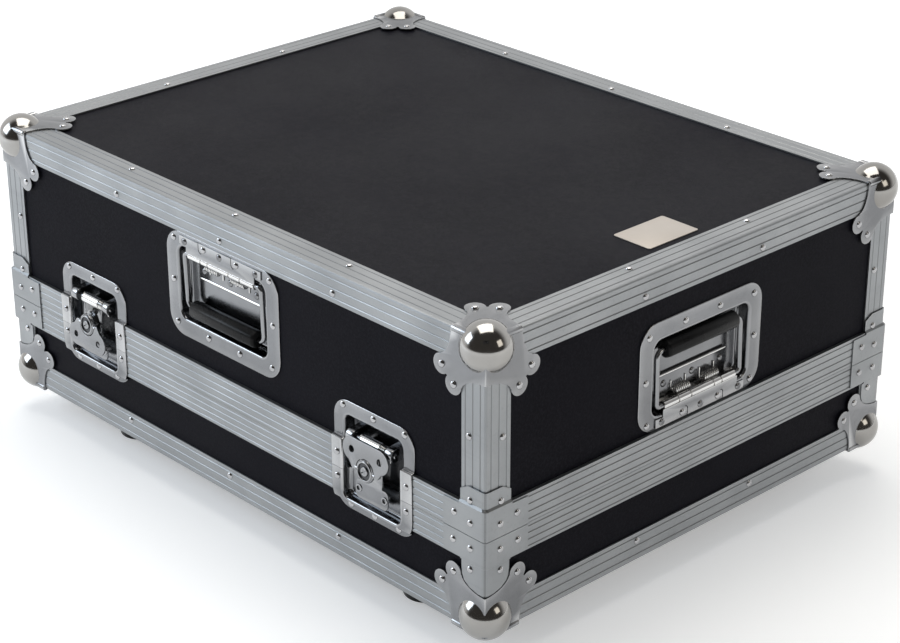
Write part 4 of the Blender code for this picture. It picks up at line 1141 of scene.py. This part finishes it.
def modelGrip():
    drop, depth, half = -bail["drop"], bail["in"], grip["half"]
    stations = [(-0.0034, -half), (-0.0018, 0.0004 - half), (-0.0007, 0.0014 - half), (0.0, 0.0032 - half), (0.0, 0.0)]
    stations += [(grow, -u) for grow, u in reversed(stations[:-1])]
    loops = []
    for grow, u in stations:
        ring = []
        for i in range(48):
            angle = 2 * pi * i / 48
            # six soft ridges run along the grip, all round it
            swell = 1 - grip["ridge"] + grip["ridge"] * cos(6 * angle)
            radius = (grip["radius"] + grow) * swell
            ring.append((u, drop + radius * cos(angle), depth + radius * sin(angle)))
        loops.append(ring)
    piece = drawLoops("grip", loops)
    bore = drawRod("bore", grip["bore"], -0.1, 0.1, drop, depth, 20, 0)
    return smoothed(merged(piece, bore, "DIFFERENCE"), 40)


panMaster = smoothed(modelDish("pan", handle), 40)
hingeMaster = modelHingePlate()
springMaster = modelHandleSpring()
bailMaster = modelBail()
gripMaster = modelGrip()
for site in handleSites:
    at = handleMatrix(site)
    pin = at @ Matrix.Translation((0, handle["pinUp"], -handle["pinIn"]))
    prefix = f"handle_{site}"
    finish(placedCopy(panMaster, f"{prefix}_pan", at), "lid", zinc, "zinc", f"{prefix}_dish")
    finish(placedCopy(hingeMaster, f"{prefix}_hinge_plate", at), "lid", None, "zinc", f"{prefix}_dish")
    finish(placedCopy(springMaster, f"{prefix}_springs", at), "lid", steelWithHighlight, "zinc")
    finish(placedCopy(bailMaster, f"{prefix}_arms", pin), f"handle_{site}", zinc, "zinc", f"{prefix}_bail")
    finish(placedCopy(gripMaster, f"{prefix}_rubber", pin), f"handle_{site}", rubber, "rubber", f"{prefix}_grip")
for master in (panMaster, hingeMaster, springMaster, bailMaster, gripMaster):
    bpy.data.objects.remove(master)
print("handles done")


# Feet

foot = {"height": 0.0366, "radius": 0.023, "topRadius": 0.025, "recess": 0.009, "recessDepth": 0.020, "x": 0.226, "y": 0.224}


def modelFoot():
    r, top = foot["radius"], foot["height"]
    profile = [
        (foot["recess"], 0.0008), (foot["recess"] + 0.0008, 0.0), (r - 0.0018, 0.0), (r - 0.0006, 0.0006), (r, 0.002),
        (foot["topRadius"] - 0.0003, top - 0.0015), (foot["topRadius"], top - 0.0006), (foot["topRadius"] - 0.0006, top),
    ]
    loops = [circleLoop(radius, z, 40) for radius, z in profile]
    inside = [circleLoop(foot["recess"], 0.0005 + foot["recessDepth"], 40), circleLoop(foot["recess"], 0.0008, 40)]
    piece = drawLoops("foot", inside[:1] + loops)
    return smoothed(piece, 40)


footMaster = modelFoot()
for sx, side in ((-1, "left"), (1, "right")):
    for sy, end in ((-1, "front"), (1, "rear")):
        matrix = Matrix.Translation((sx * foot["x"], sy * foot["y"], 0))
        copy = placedCopy(footMaster, f"rubber_foot_{end}_{side}", matrix)
        finish(copy, "base", rubber, "rubber", f"foot_{end}_{side}")
bpy.data.objects.remove(footMaster)
print("feet done")


# Foam linings

lining = {"outerX": 0.3475, "outerY": 0.2645, "thick": 0.010, "baseLow": 0.0460, "baseRim": 0.123, "lidRim": 0.141, "lidTop": 0.3180}


def modelLining(name, floor, rim):
    # An open tray: floor is the closed side, rim the open one.
    x, y, t = lining["outerX"], lining["outerY"], lining["thick"]
    sign = 1 if rim > floor else -1
    e = 0.003 * sign
    corner = 0.004

    def loop(grow, z, radius):
        return roundedLoop(-x - grow, x + grow, -y - grow, y + grow, radius, z, 4)

    loops = [
        loop(0, floor, corner), loop(0, rim - e, corner), loop(-0.0009, rim - e * 0.3, corner),
        loop(-0.003, rim, corner), loop(-t + 0.003, rim, corner), loop(-t + 0.0009, rim - e * 0.3, corner),
        loop(-t, rim - e, corner), loop(-t, floor + sign * (t + 0.004), corner),
        loop(-t - 0.001, floor + sign * (t + 0.001), corner), loop(-t - 0.004, floor + sign * t, corner),
    ]
    return smoothed(drawLoops(name, loops), 45)


baseLining = modelLining("foam_lining_base", lining["baseLow"], lining["baseRim"])
finish(baseLining, "base", foam, "foam", "base_foam")
lidLining = modelLining("foam_lining_lid", lining["lidTop"], lining["lidRim"])
finish(lidLining, "lid", foam, "foam", "lid_foam")
print("foam done")


# Rivets

rivet = {"radius": 0.0037, "height": 0.0018, "sink": 0.0006}


def modelRivet():
    r, h = rivet["radius"], rivet["height"]
    profile = [(r * 0.97, -rivet["sink"]), (r, 0.0), (r * 0.97, h * 0.22), (r * 0.86, h * 0.52), (r * 0.66, h * 0.8),
               (r * 0.40, h * 0.96), (r * 0.14, h)]
    return smoothed(drawLoops("rivet", [circleLoop(radius, w, 16) for radius, w in profile]), 60)


rivetMaster = modelRivet()


def rivetRow(name, body, places, material=rivetMetal):
    # places holds (face matrix, u, v, w) for each rivet.
    copies = []
    for matrix, u, v, w in places:
        copies.append(placedCopy(rivetMaster, name, matrix @ Matrix.Translation((u, v, w))))
    return finish(joined(name, copies), body, material, "zinc")


def edgeRivets(level):
    places = []
    z = case["top"] - 0.021 if level == "lid" else case["footHeight"] + 0.021
    up, face = (1, case["top"]) if level == "lid" else (-1, case["footHeight"])
    flat = flatMatrix(up, face)
    for side in ("front", "rear"):
        places += [(faceMatrix(side), u, z, 0.0) for u in (-0.164, 0.0, 0.164)]
    for side in ("left", "right"):
        places += [(faceMatrix(side), u, z, 0.0) for u in (-0.081, 0.081)]
    for sign in (-1, 1):
        places += [(flat, x, sign * (case["halfDepth"] - 0.021), 0.0) for x in (-0.164, 0.0, 0.164)]
        places += [(flat, sign * (case["halfWidth"] - 0.021), y, 0.0) for y in (-0.081, 0.081)]
    return places


def braceRivets(level):
    if level == "lid":
        spots = [(0.0156, 0.1482, 0.0034), (0.0362, 0.1518, 0.0034), (0.018, 0.1695, 0.0015)]
    else:
        spots = [(0.0375, 0.1237, 0.0034), (0.0156, 0.1228, 0.0034), (0.018, 0.0995, 0.0012)]
    places = []
    for side, half in (("front", "halfWidth"), ("rear", "halfWidth"), ("left", "halfDepth"), ("right", "halfDepth")):
        for sign in (-1, 1):
            places += [(faceMatrix(side), sign * (case[half] - a), z, w) for a, z, w in spots]
    return places


def cornerRivets(level):
    places = []
    near, far = ballCorner["earNear"], ballCorner["earFar"]
    w = case["gap"] + case["sheet"]
    up, face, sign = (1, case["top"], 1) if level == "lid" else (-1, case["footHeight"], -1)
    for side, half in (("front", "halfWidth"), ("rear", "halfWidth"), ("left", "halfDepth"), ("right", "halfDepth")):
        for end in (-1, 1):
            for a, b in ((near, far), (far, near)):
                places.append((faceMatrix(side), end * (case[half] - a), face - sign * b, w))
    flat = flatMatrix(up, face)
    for sx in (-1, 1):
        for sy in (-1, 1):
            for a, b in ((near, far), (far, near)):
                places.append((flat, sx * (case["halfWidth"] - a), sy * (case["halfDepth"] - b), w))
    return places


for level in ("lid", "base"):
    rivetRow(f"rivets_{level}_edges", level, edgeRivets(level))
    rivetRow(f"rivets_{level}_braces", level, braceRivets(level))
    rivetRow(f"rivets_{level}_corners", level, cornerRivets(level))
uprightSpots = []
for side, half in (("front", "halfWidth"), ("rear", "halfWidth"), ("left", "halfDepth"), ("right", "halfDepth")):
    for sign in (-1, 1):
        uprightSpots.append((faceMatrix(side), sign * (case[half] - 0.021), 0.231, 0.0))
rivetRow("rivets_lid_uprights", "lid", uprightSpots)
raised = flangeTop + latch["joggle"]
for site in latchSites:
    at = latchMatrix(site)
    upper = [(at, u, 0.050, flangeTop) for u in (-0.042, 0.0, 0.042)]
    upper += [(at, u, 0.001, raised) for u in (-0.0475, 0.0475)]
    lower = [(at, u, -0.0245, raised) for u in (-0.0475, 0.0475)]
    lower += [(at, u, -0.0505, flangeTop) for u in (-0.033, 0.0, 0.033)]
    rivetRow(f"rivets_latch_{site}_upper", "lid", upper)
    rivetRow(f"rivets_latch_{site}_lower", "base", lower)
for site in handleSites:
    at = handleMatrix(site)
    spots = [(at, u, -0.0455, flangeTop) for u in (-0.024, 0.024)]
    spots += [(at, u, v, flangeTop) for u in (-0.073, 0.073) for v in (-0.043, 0.047)]
    spots += [(at, u, 0.002, flangeTop) for u in (-0.076, 0.076)]
    spots += [(at, u, 0.048, flangeTop + 0.0015) for u in (-0.025, 0.025)]
    rivetRow(f"rivets_handle_{site}", "lid", spots)
    dull = [(at, u, 0.048, flangeTop + 0.0015) for u in (-0.054, 0.0, 0.054)]
    dull += [(at, u, 0.0175, 0.0015 - hinge["leafIn"]) for u in (-0.040, 0.0, 0.040)]
    rivetRow(f"rivets_handle_{site}_hinge", "lid", dull, darkSteel)
bpy.data.objects.remove(rivetMaster)
print("rivets done")


# The bare plate on the top panel

plate = {"x": 0.300, "y": 0.0007, "width": 0.046, "length": 0.068, "thick": 0.0009, "corner": 0.0025}
z = case["top"] + case["panelFace"]
outline = [(u, v) for u, v, w in roundedLoop(
    plate["x"] - plate["width"] / 2, plate["x"] + plate["width"] / 2,
    plate["y"] - plate["length"] / 2, plate["y"] + plate["length"] / 2, plate["corner"], 0,
)]
topPlate = smoothed(bevelled(drawPlate("bare_plate", outline, z + 0.00005, z + plate["thick"]), 0.00025, 2), 35)
finish(topPlate, "lid", plateMetal, "zinc")
print("plate done")


# Floor, light and camera

def stageMaterial():
    paint = Paint("pale floor", 0.6, 0.0)
    paint.shader.inputs["Base Color"].default_value = (0.86, 0.86, 0.86, 1.0)
    rays = paint.nodes.new("ShaderNodeLightPath")
    seen = paint.nodes.new("ShaderNodeMath")
    seen.operation = "MAXIMUM"
    paint.link(rays.outputs["Is Camera Ray"], seen.inputs[0])
    paint.link(rays.outputs["Is Glossy Ray"], seen.inputs[1])
    # Far from the case the floor fades up to the white of the backdrop.
    coords = paint.nodes.new("ShaderNodeTexCoord")
    reach = paint.nodes.new("ShaderNodeVectorMath")
    reach.operation = "LENGTH"
    paint.link(coords.outputs["Object"], reach.inputs[0])
    fade = paint.nodes.new("ShaderNodeMapRange")
    fade.interpolation_type = "SMOOTHSTEP"
    for socket, value in (("From Min", 0.6), ("From Max", 2.4), ("To Min", 1.0), ("To Max", 2.3)):
        fade.inputs[socket].default_value = value
    paint.link(reach.outputs["Value"], fade.inputs["Value"])
    lift = paint.nodes.new("ShaderNodeMath")
    lift.operation = "MULTIPLY"
    paint.link(seen.outputs["Value"], lift.inputs[0])
    paint.link(fade.outputs["Result"], lift.inputs[1])
    paint.link(lift.outputs["Value"], paint.shader.inputs["Emission Strength"])
    paint.shader.inputs["Emission Color"].default_value = (0.34, 0.34, 0.34, 1.0)
    return paint.material


deselectAll()
bpy.ops.mesh.primitive_plane_add(size=12, location=(0, 0, -0.0005))
floor = named("floor")
floor.data.materials.append(stageMaterial())


def buildWorld():
    world = bpy.data.worlds.new("studio")
    bpy.context.scene.world = world
    world.use_nodes = True
    nodes = world.node_tree.nodes
    link = world.node_tree.links.new
    ambient = nodes["Background"]
    ambient.inputs["Color"].default_value = (0.90, 0.95, 1.0, 1.0)
    ambient.inputs["Strength"].default_value = 0.35
    white = nodes.new("ShaderNodeBackground")
    white.inputs["Color"].default_value = (1.0, 1.0, 1.0, 1.0)
    white.inputs["Strength"].default_value = 1.0
    rays = nodes.new("ShaderNodeLightPath")
    first = nodes.new("ShaderNodeMath")
    first.operation = "MAXIMUM"
    second = nodes.new("ShaderNodeMath")
    second.operation = "MAXIMUM"
    mix = nodes.new("ShaderNodeMixShader")
    link(rays.outputs["Is Camera Ray"], first.inputs[0])
    link(rays.outputs["Is Glossy Ray"], first.inputs[1])
    link(first.outputs["Value"], second.inputs[0])
    link(rays.outputs["Is Transmission Ray"], second.inputs[1])
    # The room behind the camera is dim, as bright metal shows it.
    coords = nodes.new("ShaderNodeTexCoord")
    toward = nodes.new("ShaderNodeVectorMath")
    toward.operation = "DOT_PRODUCT"
    toward.inputs[1].default_value = (0.66, -0.62, 0.42)
    fall = nodes.new("ShaderNodeMapRange")
    fall.interpolation_type = "SMOOTHSTEP"
    fall.inputs["From Min"].default_value = -0.25
    fall.inputs["From Max"].default_value = 0.35
    room = nodes.new("ShaderNodeMix")
    room.data_type = "RGBA"
    room.inputs[6].default_value = (1.0, 1.0, 1.0, 1.0)
    room.inputs[7].default_value = (0.07, 0.065, 0.06, 1.0)
    link(coords.outputs["Generated"], toward.inputs[0])
    link(toward.outputs["Value"], fall.inputs["Value"])
    shown = nodes.new("ShaderNodeMath")
    shown.operation = "MULTIPLY"
    link(fall.outputs["Result"], shown.inputs[0])
    link(rays.outputs["Is Glossy Ray"], shown.inputs[1])
    link(shown.outputs["Value"], room.inputs["Factor"])
    link(room.outputs[2], white.inputs["Color"])
    link(second.outputs["Value"], mix.inputs["Fac"])
    link(ambient.outputs["Background"], mix.inputs[1])
    link(white.outputs["Background"], mix.inputs[2])
    link(mix.outputs["Shader"], nodes["World Output"].inputs["Surface"])


def addSoftbox(name, position, target, width, height, power, colour):
    deselectAll()
    bpy.ops.object.light_add(type="AREA", location=position)
    lamp = bpy.context.object
    lamp.name = name
    lamp.data.shape = "RECTANGLE"
    lamp.data.size = width
    lamp.data.size_y = height
    lamp.data.energy = power
    lamp.data.color = colour
    lamp.rotation_euler = (Vector(target) - Vector(position)).to_track_quat("-Z", "Y").to_euler()


buildWorld()
addSoftbox("overhead", (-0.3, 0.2, 2.6), (0, 0, 0.2), 2.0, 2.0, 44, (1.0, 0.97, 0.92))
addSoftbox("window", (-1.9, -1.9, 1.5), (0, 0, 0.15), 1.6, 1.4, 36, (0.79, 0.89, 1.0))
addSoftbox("fill", (2.6, 0.6, 1.4), (0, 0, 0.15), 1.0, 1.0, 6, (1.0, 0.94, 0.84))

camera = {"position": (1.652742, -1.531396, 1.188617), "azimuth": 46.83, "elevation": 25.08, "roll": -0.11, "lens": 94.89}
deselectAll()
bpy.ops.object.camera_add(location=camera["position"])
lens = bpy.context.object
turn = Matrix.Rotation(radians(camera["azimuth"]), 4, "Z") @ Matrix.Rotation(radians(90 - camera["elevation"]), 4, "X")
turn = turn @ Matrix.Rotation(radians(camera["roll"]), 4, "Z")
lens.rotation_euler = turn.to_euler()
lens.data.lens = camera["lens"]
lens.data.sensor_width = 36
lens.data.sensor_fit = "HORIZONTAL"
bpy.context.scene.camera = lens
bpy.context.scene.view_settings.view_transform = "Standard"
print("stage done")
